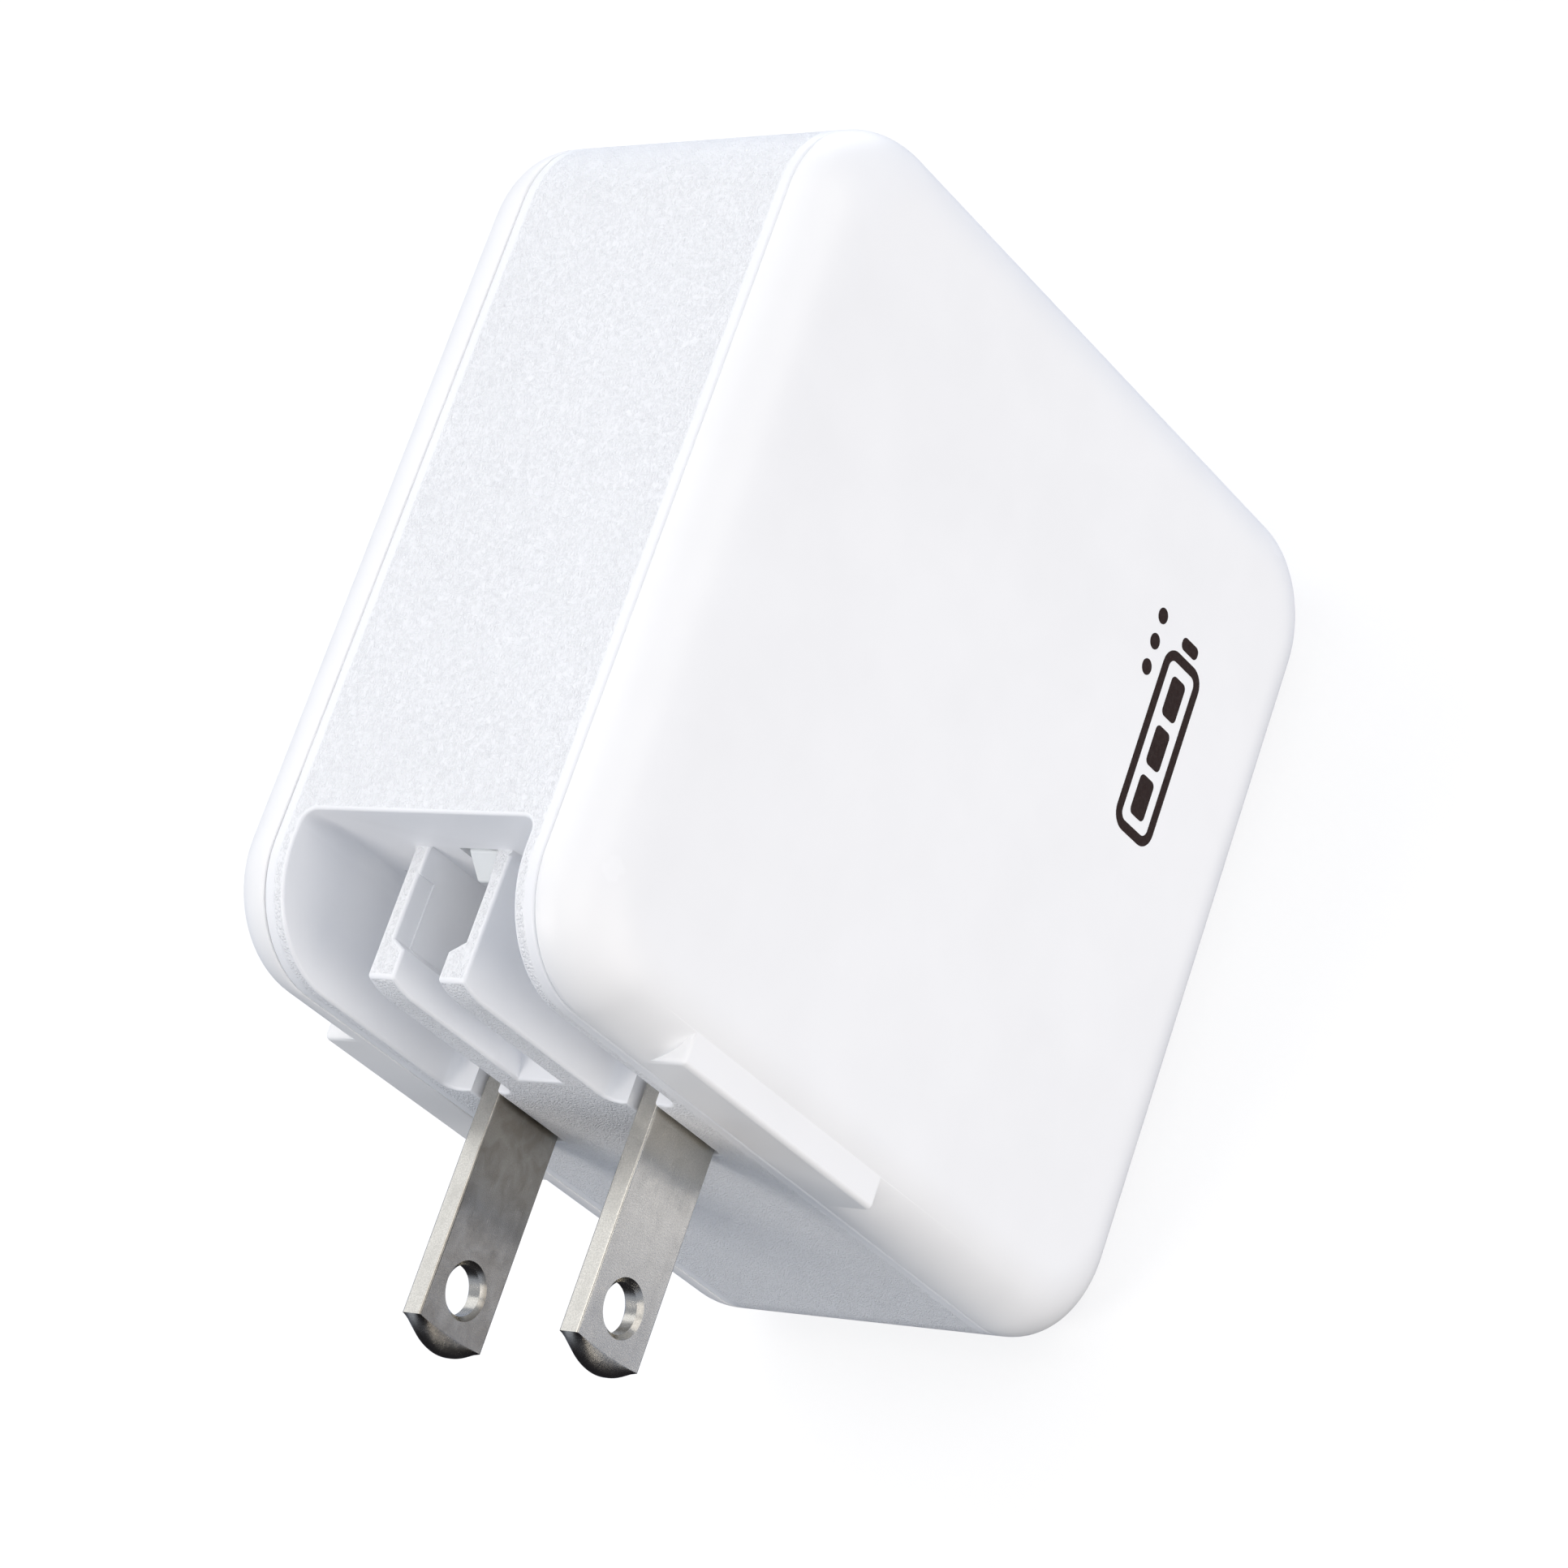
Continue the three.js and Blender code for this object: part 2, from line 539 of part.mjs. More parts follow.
/** A strip of constant thickness along a path in the (depth, drop) plane. */
function strip(path, thickness, x0, x1) {
  const points = path.map(([depth, drop]) => new THREE.Vector2(inside(depth), below(drop)));
  const half = thickness / 2;
  const sides = [half, -half].map((offset) =>
    points.map((point, index) => {
      const before = points[Math.max(index - 1, 0)];
      const after = points[Math.min(index + 1, points.length - 1)];
      const along = after.clone().sub(before).normalize();
      return [point.x - along.y * offset, point.y + along.x * offset];
    }));
  return prismX(polygon([...sides[0], ...sides[1].reverse()]), x0, x1);
}

/** Points along an arc in the (depth, drop) plane. */
function arc(depth, drop, radius, from, to, steps) {
  return Array.from({ length: steps + 1 }, (_, index) => {
    const angle = from + ((to - from) * index) / steps;
    return [depth + radius * Math.cos(angle), drop + radius * Math.sin(angle)];
  });
}

/** The detent spring bows towards the hub from two feet on the cradle. */
function detentSpring() {
  const foot = CRADLE_FRONT - SPRING_THICKNESS / 2 - 0.02;
  const nearest = PIVOT_DEPTH + ROTOR_RADIUS + 0.25 + SPRING_THICKNESS / 2;
  const rise = foot - nearest;
  const half = ROTOR_RADIUS;
  const steps = 12;
  const path = Array.from({ length: steps + 1 }, (_, index) => {
    const t = (index / steps) * 2 - 1;
    return [foot - rise * Math.cos((t * Math.PI) / 2) ** 2, PIVOT_DROP + t * half];
  });
  return strip(path, SPRING_THICKNESS, -2.5, 2.5);
}

piece(fixed, "detent_spring", detentSpring(), STEEL);

/** A contact spring bears on the blade's round root and leaves through the cradle. */
function contactSpring(side) {
  const near = PIVOT_DEPTH + BLADE_WIDTH / 2 + 0.25 + SPRING_THICKNESS / 2;
  const path = [
    [near + 0.55, PIVOT_DROP - 1.6],
    [near, PIVOT_DROP - 0.6],
    [near + 0.1, PIVOT_DROP + 0.3],
    ...arc(near + 1, PIVOT_DROP + 0.5, 0.6, Math.PI, Math.PI / 2, 4),
    [CRADLE_BACK + 2.6, PIVOT_DROP + 1.1],
  ];
  const x = side * BLADE_X;
  return strip(path, SPRING_THICKNESS, x - CONTACT_HALF, x + CONTACT_HALF);
}

const CONTACT_TAIL = inside(CRADLE_BACK + 2.6);

/** A round insulated lead from a contact spring's tail to the main board. */
function supplyLead(side) {
  const radius = 0.7;
  const startX = side * BLADE_X;
  const startZ = below(PIVOT_DROP + 1.1);
  const landingY = CONTACT_TAIL + 4.6;
  const landingZ = below(side < 0 ? 18.5 : 15.5);
  const hump = BOARD_TOP_X + 3.4;
  const route = new THREE.CatmullRomCurve3([
    new THREE.Vector3(startX, CONTACT_TAIL + 0.3, startZ),
    new THREE.Vector3(startX, CONTACT_TAIL + 1.3, startZ + 0.3),
    new THREE.Vector3((startX + hump) / 2, CONTACT_TAIL + 2.4, (startZ + landingZ) / 2),
    new THREE.Vector3(hump, landingY - 0.4, landingZ - 1.6),
    new THREE.Vector3(BOARD_TOP_X + 2, landingY, landingZ),
    new THREE.Vector3(BOARD_TOP_X + 0.4, landingY, landingZ),
  ]);
  const section = new THREE.Shape();
  section.absarc(0, 0, radius, 0, 2 * Math.PI);
  const settings = { steps: 12, curveSegments: 4, bevelEnabled: false, extrudePath: route };
  return solid(new THREE.ExtrudeGeometry(section, settings));
}

for (const [name, side, leadMaterial] of [["left", -1, BLACK_PLASTIC], ["right", 1, LEAD_RED]]) {
  piece(fixed, `contact_spring_${name}`, contactSpring(side), BRONZE);
  piece(fixed, `supply_lead_${name}`, supplyLead(side), leadMaterial);
}

// Catch behind the latch window: an adapter's hook snaps over its nose.

function latchCatch() {
  const nose = new THREE.Shape();
  const foot = CATCH_FOOT;
  const top = RIB_TOP + 0.3;
  nose.moveTo(inside(9.2), below(top));
  nose.lineTo(inside(foot + 1.2), below(top));
  nose.lineTo(inside(foot + 1.2), below(20));
  nose.lineTo(inside(CRADLE_BACK + 0.1), below(20));
  nose.lineTo(inside(CRADLE_BACK + 0.1), below(16.1));
  nose.lineTo(inside(foot), below(16.1));
  nose.lineTo(inside(foot), below(7.1));
  nose.lineTo(inside(8.4), below(7.1));
  nose.quadraticCurveTo(inside(7.9), below(7.1), inside(7.9), below(6.5));
  return prismX(nose, CATCH_X[0], CATCH_X[1]);
}

piece(fixed, "latch_catch", latchCatch(), INNER_PLASTIC);

// Circuit boards.

function mainBoard() {
  const outline = roundedRectangle(inside(14.2), 4, inside(45.8), BODY_HEIGHT - 4, 2);
  const board = prismX(outline, MAIN_BOARD_X, BOARD_TOP_X);
  const slot = block(
    [MAIN_BOARD_X - 1, inside(24), below(34)],
    [BOARD_TOP_X + 1, inside(25.4), below(16)],
  );
  return board.subtract(slot);
}

piece(fixed, "main_board", mainBoard(), BOARD_GREEN);
piece(fixed, "port_board", block(
  [MAIN_BOARD_X + 0.6, PORT_BOARD_Y, 7],
  [FRAME_HALF - LIP_DEPTH - 0.6, PORT_BOARD_Y + BOARD_THICKNESS, BODY_HEIGHT - 7],
), BOARD_GREEN);

// Ports: a pressed shell round a moulded tongue, both standing on the port board.

/** A shell, open at its mouth and at its root. */
function portShell(port) {
  return prismY(portOutline(port, 0), SHELL_START_Y, SHELL_END_Y)
    .subtract(prismY(portOutline(port, -SHELL_WALL), SHELL_START_Y - 1, SHELL_END_Y + 1));
}

/** A tongue: a base that fills the shell's root, and a flat blade towards the mouth. */
function portTongue(port, base, { halfLong, thickness, lift, recess }) {
  const root = prismY(portOutline(port, -SHELL_WALL - 0.15), SHELL_START_Y, SHELL_START_Y + base);
  const blade = block(
    [lift - thickness / 2, SHELL_START_Y + base - 0.5, port.z - halfLong],
    [lift + thickness / 2, SHELL_END_Y - recess, port.z + halfLong],
  );
  return root.add(blade);
}

const USB_C_TONGUE = { halfLong: 3.35, thickness: 0.7, lift: 0, recess: 1 };
const USB_A_TONGUE = { halfLong: 5.5, thickness: 1.8, lift: -1.1, recess: 0.8 };
for (const port of PORTS) {
  piece(fixed, `${port.name}_shell`, portShell(port), STEEL);
  const tongue = port.kind === USB_C ? USB_C_TONGUE : USB_A_TONGUE;
  const base = port.kind === USB_C ? 5 : 2.5;
  piece(fixed, `${port.name}_tongue`, portTongue(port, base, tongue), BLACK_PLASTIC);
}

// Power parts on the main board.

/** A body of revolution about Z: the profile is a list of [radius, height]. */
function turned(profile, x, y, z, sides = 18) {
  const points = profile.map(([radius, height]) => new THREE.Vector2(radius, height));
  const geometry = new THREE.LatheGeometry(points, sides);
  geometry.rotateX(Math.PI / 2);
  geometry.translate(x, y, z);
  return solid(geometry);
}

/** An electrolytic capacitor along Z, with its crimp groove and rounded rim. */
function capacitor(radius, length, x, y, z) {
  const groove = radius - 0.5;
  return turned([
    [0, 0], [radius - 0.4, 0], [radius, 0.4], [radius, 1.6], [groove, 2.1], [radius, 2.6],
    [radius, length - 0.5], [radius - 0.5, length], [0, length],
  ], x, y, z);
}

const BULK_RADIUS = 5;
SIDES.forEach((side, index) => {
  const name = `bulk_capacitor_${index + 1}`;
  piece(fixed, name, capacitor(BULK_RADIUS, 22.6, side * 5.3, inside(8.8), 5), CAPACITOR_SLEEVE);
});

const OUTPUT_RADIUS = 3.1;
[5, 12.8].forEach((z, index) => {
  const name = `output_capacitor_${index + 1}`;
  const x = BOARD_TOP_X + OUTPUT_RADIUS + 0.3;
  piece(fixed, name, capacitor(OUTPUT_RADIUS, 7, x, inside(42.4), z), CAPACITOR_SLEEVE);
});

// Transformer: a ferrite core, a bobbin on its middle leg and the winding on the bobbin.
const TRANSFORMER = { x: 1.2, y: inside(32), z: 25, halfX: 8, halfY: 7, halfZ: 9, plate: 3, leg: 3.2 };

function transformerCore() {
  const { x, y, z, halfX, halfY, halfZ, plate, leg } = TRANSFORMER;
  const legWall = 2;
  const whole = block([x - halfX, y - halfY, z - halfZ], [x + halfX, y + halfY, z + halfZ]);
  const window = block(
    [x - halfX + legWall, y - halfY - 1, z - halfZ + plate],
    [x + halfX - legWall, y + halfY + 1, z + halfZ - plate],
  );
  const middle = turned([[0, -halfZ + 1], [leg, -halfZ + 1], [leg, halfZ - 1], [0, halfZ - 1]], x, y, z);
  return whole.subtract(window).add(middle);
}

function transformerBobbin() {
  const { x, y, z, halfX, halfZ, plate, leg } = TRANSFORMER;
  const end = halfZ - plate - 0.1;
  const bore = leg + 0.15;
  const tube = bore + 0.6;
  const flange = halfX - 2 - 0.15;
  const flangeWall = 0.6;
  return turned([
    [bore, -end], [flange, -end], [flange, -end + flangeWall], [tube, -end + flangeWall],
    [tube, end - flangeWall], [flange, end - flangeWall], [flange, end], [bore, end], [bore, -end],
  ], x, y, z);
}

function transformerWinding() {
  const { x, y, z, halfX, halfZ, plate, leg } = TRANSFORMER;
  const end = halfZ - plate - 0.9;
  const inner = leg + 0.95;
  const outer = halfX - 2 - 0.3;
  return turned([
    [inner, -end], [outer - 0.4, -end], [outer, -end + 0.4], [outer, end - 0.4],
    [outer - 0.4, end], [inner, end], [inner, -end],
  ], x, y, z);
}

piece(fixed, "transformer_core", transformerCore(), FERRITE);
piece(fixed, "transformer_bobbin", transformerBobbin(), BLACK_PLASTIC);
piece(fixed, "transformer_winding", transformerWinding(), TAPE_YELLOW);

// Mains filter: a toroid with two windings, a film capacitor, a disc capacitor and a fuse.
const CHOKE = { x: -0.8, y: inside(22.4), z: 51, inner: 2.4, outer: 5, half: 2.2 };

function ring(inner, outer, half) {
  return turned([[inner, -half], [outer, -half], [outer, half], [inner, half], [inner, -half]],
    CHOKE.x, CHOKE.y, CHOKE.z);
}

function chokeWinding(side) {
  const { x, y, z, inner, outer, half } = CHOKE;
  const gap = 0.15;
  const wire = 0.8;
  const wrap = ring(inner - wire - gap, outer + wire + gap, half + wire + gap)
    .subtract(ring(inner - gap, outer + gap, half + gap));
  const reach = outer + wire + 1;
  const span = block([x + side * 1.2, y - reach, z - reach], [x + side * reach, y + reach, z + reach]);
  return wrap.intersect(span);
}

piece(fixed, "choke_core", ring(CHOKE.inner, CHOKE.outer, CHOKE.half), FERRITE);
SIDES.forEach((side, index) => {
  piece(fixed, `choke_winding_${index + 1}`, chokeWinding(side), COPPER_WIRE);
});

/** A box with rounded long edges that stands on the main board. */
function boardBox(depth0, depth1, z0, z1, height, radius) {
  const base = BOARD_TOP_X + 0.1;
  return prismX(
    roundedRectangle(inside(depth0), z0, inside(depth1), z1, radius), base, base + height);
}

piece(fixed, "film_capacitor", boardBox(31, 44, 47.5, 54.5, 12, 0.8), CAPACITOR_YELLOW);
piece(fixed, "bridge_rectifier", boardBox(16, 23.4, 26, 33.5, 2.6, 0.4), BLACK_PLASTIC);
piece(fixed, "gan_controller", boardBox(15.5, 22.5, 17, 24, 0.9, 0.3), BLACK_PLASTIC);
piece(fixed, "rectifier_controller", boardBox(39.6, 44.6, 29, 34, 0.9, 0.3), BLACK_PLASTIC);
piece(fixed, "disc_capacitor", rodY(3.2, inside(25.8), inside(28.4), BOARD_TOP_X + 3.4, 40.5, 20),
  DISC_BLUE);
piece(fixed, "fuse", turned(
  [[0, 0], [1.9, 0], [1.9, 1.8], [1.6, 1.8], [1.6, 7.2], [1.9, 7.2], [1.9, 9], [0, 9]],
  BOARD_TOP_X + 2.2, inside(20.8), 36, 16,
), CAPACITOR_SLEEVE);

// Heat: an aluminium spreader behind each cover, a pad on the core, and an insulating sheet.

function spreader(x0, x1, depth0, depth1, z0, z1) {
  return prismX(roundedRectangle(inside(depth0), z0, inside(depth1), z1, 3), x0, x1);
}

const COVER_INSIDE = HALF_THICKNESS - COVER_WALL;
const CORE_TOP = TRANSFORMER.x + TRANSFORMER.halfX;
const SPREADER_FRONT = COVER_INSIDE - 0.4;
piece(fixed, "heat_spreader_front", spreader(SPREADER_FRONT - 0.8, SPREADER_FRONT, 14, 50, 8, 52),
  ALUMINIUM);
piece(fixed, "thermal_pad", block(
  [CORE_TOP + 0.1, TRANSFORMER.y - 6, TRANSFORMER.z - 8],
  [SPREADER_FRONT - 0.9, TRANSFORMER.y + 6, TRANSFORMER.z + 8],
), PAD_GREY);
piece(fixed, "heat_spreader_back",
  spreader(-SPREADER_FRONT, -SPREADER_FRONT + 0.8, 19, 40, 12, 48), ALUMINIUM);
piece(fixed, "insulating_sheet",
  spreader(-SPREADER_FRONT + 0.9, -SPREADER_FRONT + 1.2, 18.5, 40.5, 11.5, 48.5), SHEET_AMBER);

export default charger;
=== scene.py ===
import json
import math

import bmesh
import bpy
import numpy as np
from mathutils import Matrix, Vector


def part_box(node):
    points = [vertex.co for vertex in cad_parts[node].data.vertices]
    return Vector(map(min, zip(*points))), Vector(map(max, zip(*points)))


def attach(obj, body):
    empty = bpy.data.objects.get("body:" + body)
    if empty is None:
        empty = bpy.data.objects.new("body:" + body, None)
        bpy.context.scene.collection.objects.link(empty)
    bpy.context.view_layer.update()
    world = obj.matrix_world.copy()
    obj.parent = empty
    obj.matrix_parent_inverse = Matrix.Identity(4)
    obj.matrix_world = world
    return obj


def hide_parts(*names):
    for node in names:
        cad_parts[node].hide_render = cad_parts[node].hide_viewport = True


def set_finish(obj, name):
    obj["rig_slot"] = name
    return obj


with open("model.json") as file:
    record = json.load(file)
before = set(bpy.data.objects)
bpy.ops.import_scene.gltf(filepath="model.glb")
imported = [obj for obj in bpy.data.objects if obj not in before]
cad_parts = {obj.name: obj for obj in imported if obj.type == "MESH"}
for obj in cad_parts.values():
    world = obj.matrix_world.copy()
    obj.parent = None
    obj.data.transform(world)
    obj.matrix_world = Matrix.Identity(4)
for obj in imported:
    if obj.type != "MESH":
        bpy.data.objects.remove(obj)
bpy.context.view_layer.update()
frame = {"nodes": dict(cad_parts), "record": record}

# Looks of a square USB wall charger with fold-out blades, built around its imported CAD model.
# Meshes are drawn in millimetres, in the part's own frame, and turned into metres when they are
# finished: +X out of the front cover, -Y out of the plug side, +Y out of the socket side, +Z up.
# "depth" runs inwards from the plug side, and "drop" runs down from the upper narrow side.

MM = 0.001


# ---- Driving dimensions, read from the frame ----------------------------------------------------


def box_mm(node):
    """The lowest and highest corners of a CAD node, in millimetres."""
    low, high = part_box(node)
    return low / MM, high / MM


FRAME_LOW, FRAME_HIGH = box_mm("middle_frame")
PLUG_Y = FRAME_LOW.y
PORT_Y = FRAME_HIGH.y
TOP_Z = FRAME_HIGH.z
BODY_DEPTH = PORT_Y - PLUG_Y
FRAME_HALF = FRAME_HIGH.x
HALF_THICKNESS = box_mm("front_cover")[1].x
MIDDLE_Y = (PLUG_Y + PORT_Y) / 2
MIDDLE_Z = TOP_Z / 2

# Dimensions that no node's box gives. They are the CAD model's own, apart from the seam, which is
# as fine as on the real charger. Up to the covers, names with HALF, INNER, OUTER or EDGE are
# distances from the middle plane X = 0, names with DEPTH or BACK are depths, and names with TOP,
# STEP or END are drops.
CORNER_RADIUS = 7.2
SEAM = 0.04
COVER_START = FRAME_HALF + SEAM
FRAME_WALL = 2.0

# The housing round the pocket and the rotor, inside the frame.
HOUSING_HALF = 14.0
HOUSING_DEPTH = 8.2
HOUSING_END = 31.0
HOUSING_WALL = 1.6
HOUSING_WALL_END = 15.8

# The finger pocket and the two slots below it.
POCKET_HALF = 9.2
POCKET_DEPTH = 9.2
POCKET_ROUND = 0.9
SLOT_STEP = 8.0
SLOT_RECESS = 0.35
SLOT_RECESS_EDGE = 7.5
SLOT_SLOPE_END = 15.4
SLOT_DEPTH = 7.4
SLOT_END = 20.0

# The ribs, the groove between them, and the latch window with the passage behind it.
RIB_TOP = 4.6
RIB_INNER = 1.75
RIB_OUTER = 3.9
GROOVE_DEPTH = 2.6
GROOVE_END = 18.2
GROOVE_BEND = 2.4
WINDOW_BACK = 9.35
WINDOW_END = 14.0
NOTCH_WIDTH = 1.0
NOTCH_LEDGE = 0.1
NOTCH_LEDGE_DEPTH = 7.4
NOTCH_LEDGE_END = RIB_TOP + 1.5
PASSAGE_X = (-0.65, 2.75)
PASSAGE_END = 7.6
CATCH_FOOT_DEPTH = 11.1

# The rotor's axis as (depth, drop), the blades' channels, and the room each moving piece has.
PIVOT = (3.6, 23.8)
CHANNEL = (5.25, 7.45)
BLADE_ROOM = 3.5
HUB_ROOM = 2.7
TRUNNION_ROOM = 1.9

# How far the pocket's tools reach past the faces that they cut.
BEYOND = 3

SIDES = (-1, 1)


def inside(depth):
    return PLUG_Y + depth


def below(drop):
    return TOP_Z - drop


# ---- Making meshes ------------------------------------------------------------------------------


def arc(u, v, radius, start, end, steps):
    """Points on an arc about (u, v), with angles in degrees."""
    angles = np.radians(np.linspace(start, end, steps + 1))
    return [(u + radius * math.cos(a), v + radius * math.sin(a)) for a in angles]


def rounded_rectangle(u0, v0, u1, v1, radius, steps=6):
    return [
        *arc(u1 - radius, v0 + radius, radius, -90, 0, steps),
        *arc(u1 - radius, v1 - radius, radius, 0, 90, steps),
        *arc(u0 + radius, v1 - radius, radius, 90, 180, steps),
        *arc(u0 + radius, v0 + radius, radius, 180, 270, steps),
    ]


def body_outline(inset, radius=None, steps=28):
    """The body's outline in the (Y, Z) plane, moved inwards."""
    radius = max(CORNER_RADIUS - inset, 0.6) if radius is None else radius
    return rounded_rectangle(
        PLUG_Y + inset, inset, PORT_Y - inset, TOP_Z - inset, radius, steps)


def mesh_object(name, points, faces):
    """A mesh object whose faces are turned outwards."""
    mesh = bpy.data.meshes.new(name)
    bm = bmesh.new()
    vertices = [bm.verts.new(point) for point in points]
    for face in faces:
        bm.faces.new([vertices[index] for index in face])
    bmesh.ops.recalc_face_normals(bm, faces=bm.faces)
    bm.to_mesh(mesh)
    bm.free()
    item = bpy.data.objects.new(name, mesh)
    bpy.context.scene.collection.objects.link(item)
    return item


def on_axis(axis, along, u, v):
    """A point of an outline: (Y, Z) across X, (X, Z) across Y, or (X, Y) across Z."""
    return [(along, u, v), (u, along, v), (u, v, along)][axis]


def loft(name, axis, rings, tube=False):
    """A closed solid through rings, each given as (place along the axis, outline). The first and
    last rings are capped, or joined to each other in a tube."""
    count = len(rings[0][1])
    points = [on_axis(axis, along, u, v) for along, outline in rings for u, v in outline]
    faces = []
    if not tube:
        faces = [list(range(count)), list(range((len(rings) - 1) * count, len(rings) * count))]
    for ring in range(len(rings) if tube else len(rings) - 1):
        start = ring * count
        after_start = (ring + 1) % len(rings) * count
        for index in range(count):
            after = (index + 1) % count
            faces.append([start + index, start + after, after_start + after, after_start + index])
    return mesh_object(name, points, faces)


def prism(axis, outline, start, end, name="tool"):
    return loft(name, axis, [(start, outline), (end, outline)])


def block(x, y, z):
    """A box between three pairs of limits."""
    (x0, x1), (y0, y1), (z0, z1) = sorted(x), sorted(y), sorted(z)
    return prism(0, [(y0, z0), (y1, z0), (y1, z1), (y0, z1)], x0, x1)


def pocket_block(x, depth, drop):
    """A box given by its limits in depth and drop."""
    return block(x, [inside(d) for d in depth], [below(d) for d in drop])


def rod(axis, radius, start, end, u, v, steps=40):
    return prism(axis, arc(u, v, radius, 0, 360 - 360 / steps, steps - 1), start, end)


def apply_modifiers(item):
    """Turns an object's modifiers into its mesh."""
    graph = bpy.context.evaluated_depsgraph_get()
    old = item.data
    item.data = bpy.data.meshes.new_from_object(item.evaluated_get(graph))
    item.modifiers.clear()
    bpy.data.meshes.remove(old)


def combine(item, tools, operation):
    for tool in tools:
        change = item.modifiers.new("combine", "BOOLEAN")
        change.operation = operation
        change.solver = "EXACT"
        change.object = tool
        apply_modifiers(item)
        bpy.data.objects.remove(tool)
    return item


def cut(item, *tools):
    return combine(item, tools, "DIFFERENCE")


def join(item, *tools):
    return combine(item, tools, "UNION")


def keep(item, *tools):
    return combine(item, tools, "INTERSECT")


def merged(items):
    """Joins separate solids into one object, each left as it is."""
    whole = bmesh.new()
    for item in items:
        whole.from_mesh(item.data)
    whole.to_mesh(items[0].data)
    whole.free()
    for item in items[1:]:
        bpy.data.objects.remove(item)
    return items[0]


def mended(item, flat_angle=0.2):
    """Merges doubled points and dissolves edges that lie in a flat face."""
    bm = bmesh.new()
    bm.from_mesh(item.data)
    bmesh.ops.remove_doubles(bm, verts=bm.verts, dist=0.002)
    bmesh.ops.dissolve_limit(
        bm, angle_limit=math.radians(flat_angle), verts=bm.verts, edges=bm.edges)
    bm.to_mesh(item.data)
    bm.free()
    return item


def rounded(item, rule, width, segments=3):
    """Rounds edges: rule(edge) gives each edge's share of the width."""
    bm = bmesh.new()
    bm.from_mesh(item.data)
    layers = bm.edges.layers.float
    weights = layers.get("bevel_weight_edge") or layers.new("bevel_weight_edge")
    for edge in bm.edges:
        edge[weights] = rule(edge) if len(edge.link_faces) == 2 else 0
    bm.to_mesh(item.data)
    bm.free()
    bevel = item.modifiers.new("bevel", "BEVEL")
    bevel.limit_method = "WEIGHT"
    bevel.width = width
    bevel.segments = segments
    bevel.use_clamp_overlap = False
    bevel.miter_outer = "MITER_SHARP"
    apply_modifiers(item)
    return item


def middle_of(edge):
    return (edge.verts[0].co + edge.verts[1].co) / 2


def is_sharp(edge, degrees=25):
    return edge.calc_face_angle(0) > math.radians(degrees)


def finished(item, body, slot, *nodes):
    """Scales a piece to metres, smooths its shading, and says what it stands for."""
    item.data.transform(Matrix.Scale(MM, 4))
    item.data.shade_smooth()
    item.data.set_sharp_from_angle(angle=math.radians(36))
    normals = item.modifiers.new("normals", "WEIGHTED_NORMAL")
    normals.keep_sharp = True
    apply_modifiers(item)
    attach(item, body)
    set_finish(item, slot)
    if nodes:
        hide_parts(*nodes)
    return item


# ---- Middle frame -------------------------------------------------------------------------------


def outline_gap(point):
    """How far a point lies inside the body's outline, seen along X."""
    half = BODY_DEPTH / 2 - CORNER_RADIUS
    across = max(abs(point.y - MIDDLE_Y) - half, 0)
    up = max(abs(point.z - MIDDLE_Z) - half, 0)
    nearest = max(abs(point.y - MIDDLE_Y), abs(point.z - MIDDLE_Z))
    if across > 0 and up > 0:
        return CORNER_RADIUS - math.hypot(across, up)
    return BODY_DEPTH / 2 - nearest


def side_outline(*places):
    """An outline in the (Y, Z) plane from places given as (depth, drop)."""
    return [(inside(depth), below(drop)) for depth, drop in places]


def pocket_tool():
    """The finger pocket and the two slots, with soft inner corners."""
    tool = pocket_block((-POCKET_HALF, POCKET_HALF), (-BEYOND, POCKET_DEPTH), (-BEYOND, RIB_TOP))
    outer, upper = -BEYOND - 0.1, -BEYOND + 0.1
    slot = side_outline(
        (outer, upper), (POCKET_DEPTH, upper), (POCKET_DEPTH, SLOT_STEP),
        (SLOT_DEPTH, SLOT_SLOPE_END), (SLOT_DEPTH, SLOT_END), (outer, SLOT_END))
    for side in SIDES:
        join(tool, prism(0, slot, *sorted((side * RIB_OUTER, side * POCKET_HALF))))
    mended(tool)

    def rule(edge):
        middle = middle_of(edge)
        clear = 0.5 - BEYOND
        if not is_sharp(edge) or middle.y < inside(clear) or middle.z > below(clear):
            return 0
        return 0 if middle.z > below(RIB_TOP + 0.1) and abs(middle.x) < RIB_OUTER + 0.1 else 1

    return rounded(tool, rule, POCKET_ROUND, 5)


def recess_tools():
    """The shallow recess in each slot's back wall, which a folded blade's tip swings past."""
    outline = side_outline(
        (POCKET_DEPTH - 1, SLOT_STEP), (POCKET_DEPTH + SLOT_RECESS, SLOT_STEP),
        (POCKET_DEPTH + SLOT_RECESS, SLOT_STEP + 0.8), (SLOT_DEPTH, SLOT_SLOPE_END + 0.3),
        (SLOT_DEPTH - 1, SLOT_SLOPE_END + 0.3))
    return [prism(0, outline, *sorted((side * (RIB_OUTER + 0.01), side * SLOT_RECESS_EDGE)))
            for side in SIDES]


def groove_tool():
    """The groove between the ribs, with a floor that bends from the plug side to the upper side."""
    floor = RIB_TOP + GROOVE_DEPTH
    bend_y, bend_z = inside(GROOVE_DEPTH + GROOVE_BEND), below(floor + GROOVE_BEND)
    back = POCKET_DEPTH - 0.05
    outline = [
        *side_outline((-BEYOND, GROOVE_END + 0.3), (GROOVE_DEPTH - 0.4, GROOVE_END - 1.1),
                      (GROOVE_DEPTH, GROOVE_END - 1.6)),
        *arc(bend_y, bend_z, GROOVE_BEND, 180, 90, 10),
        *side_outline((back, floor), (back, -BEYOND), (-BEYOND, -BEYOND)),
    ]
    return prism(0, outline, -RIB_INNER, RIB_INNER)


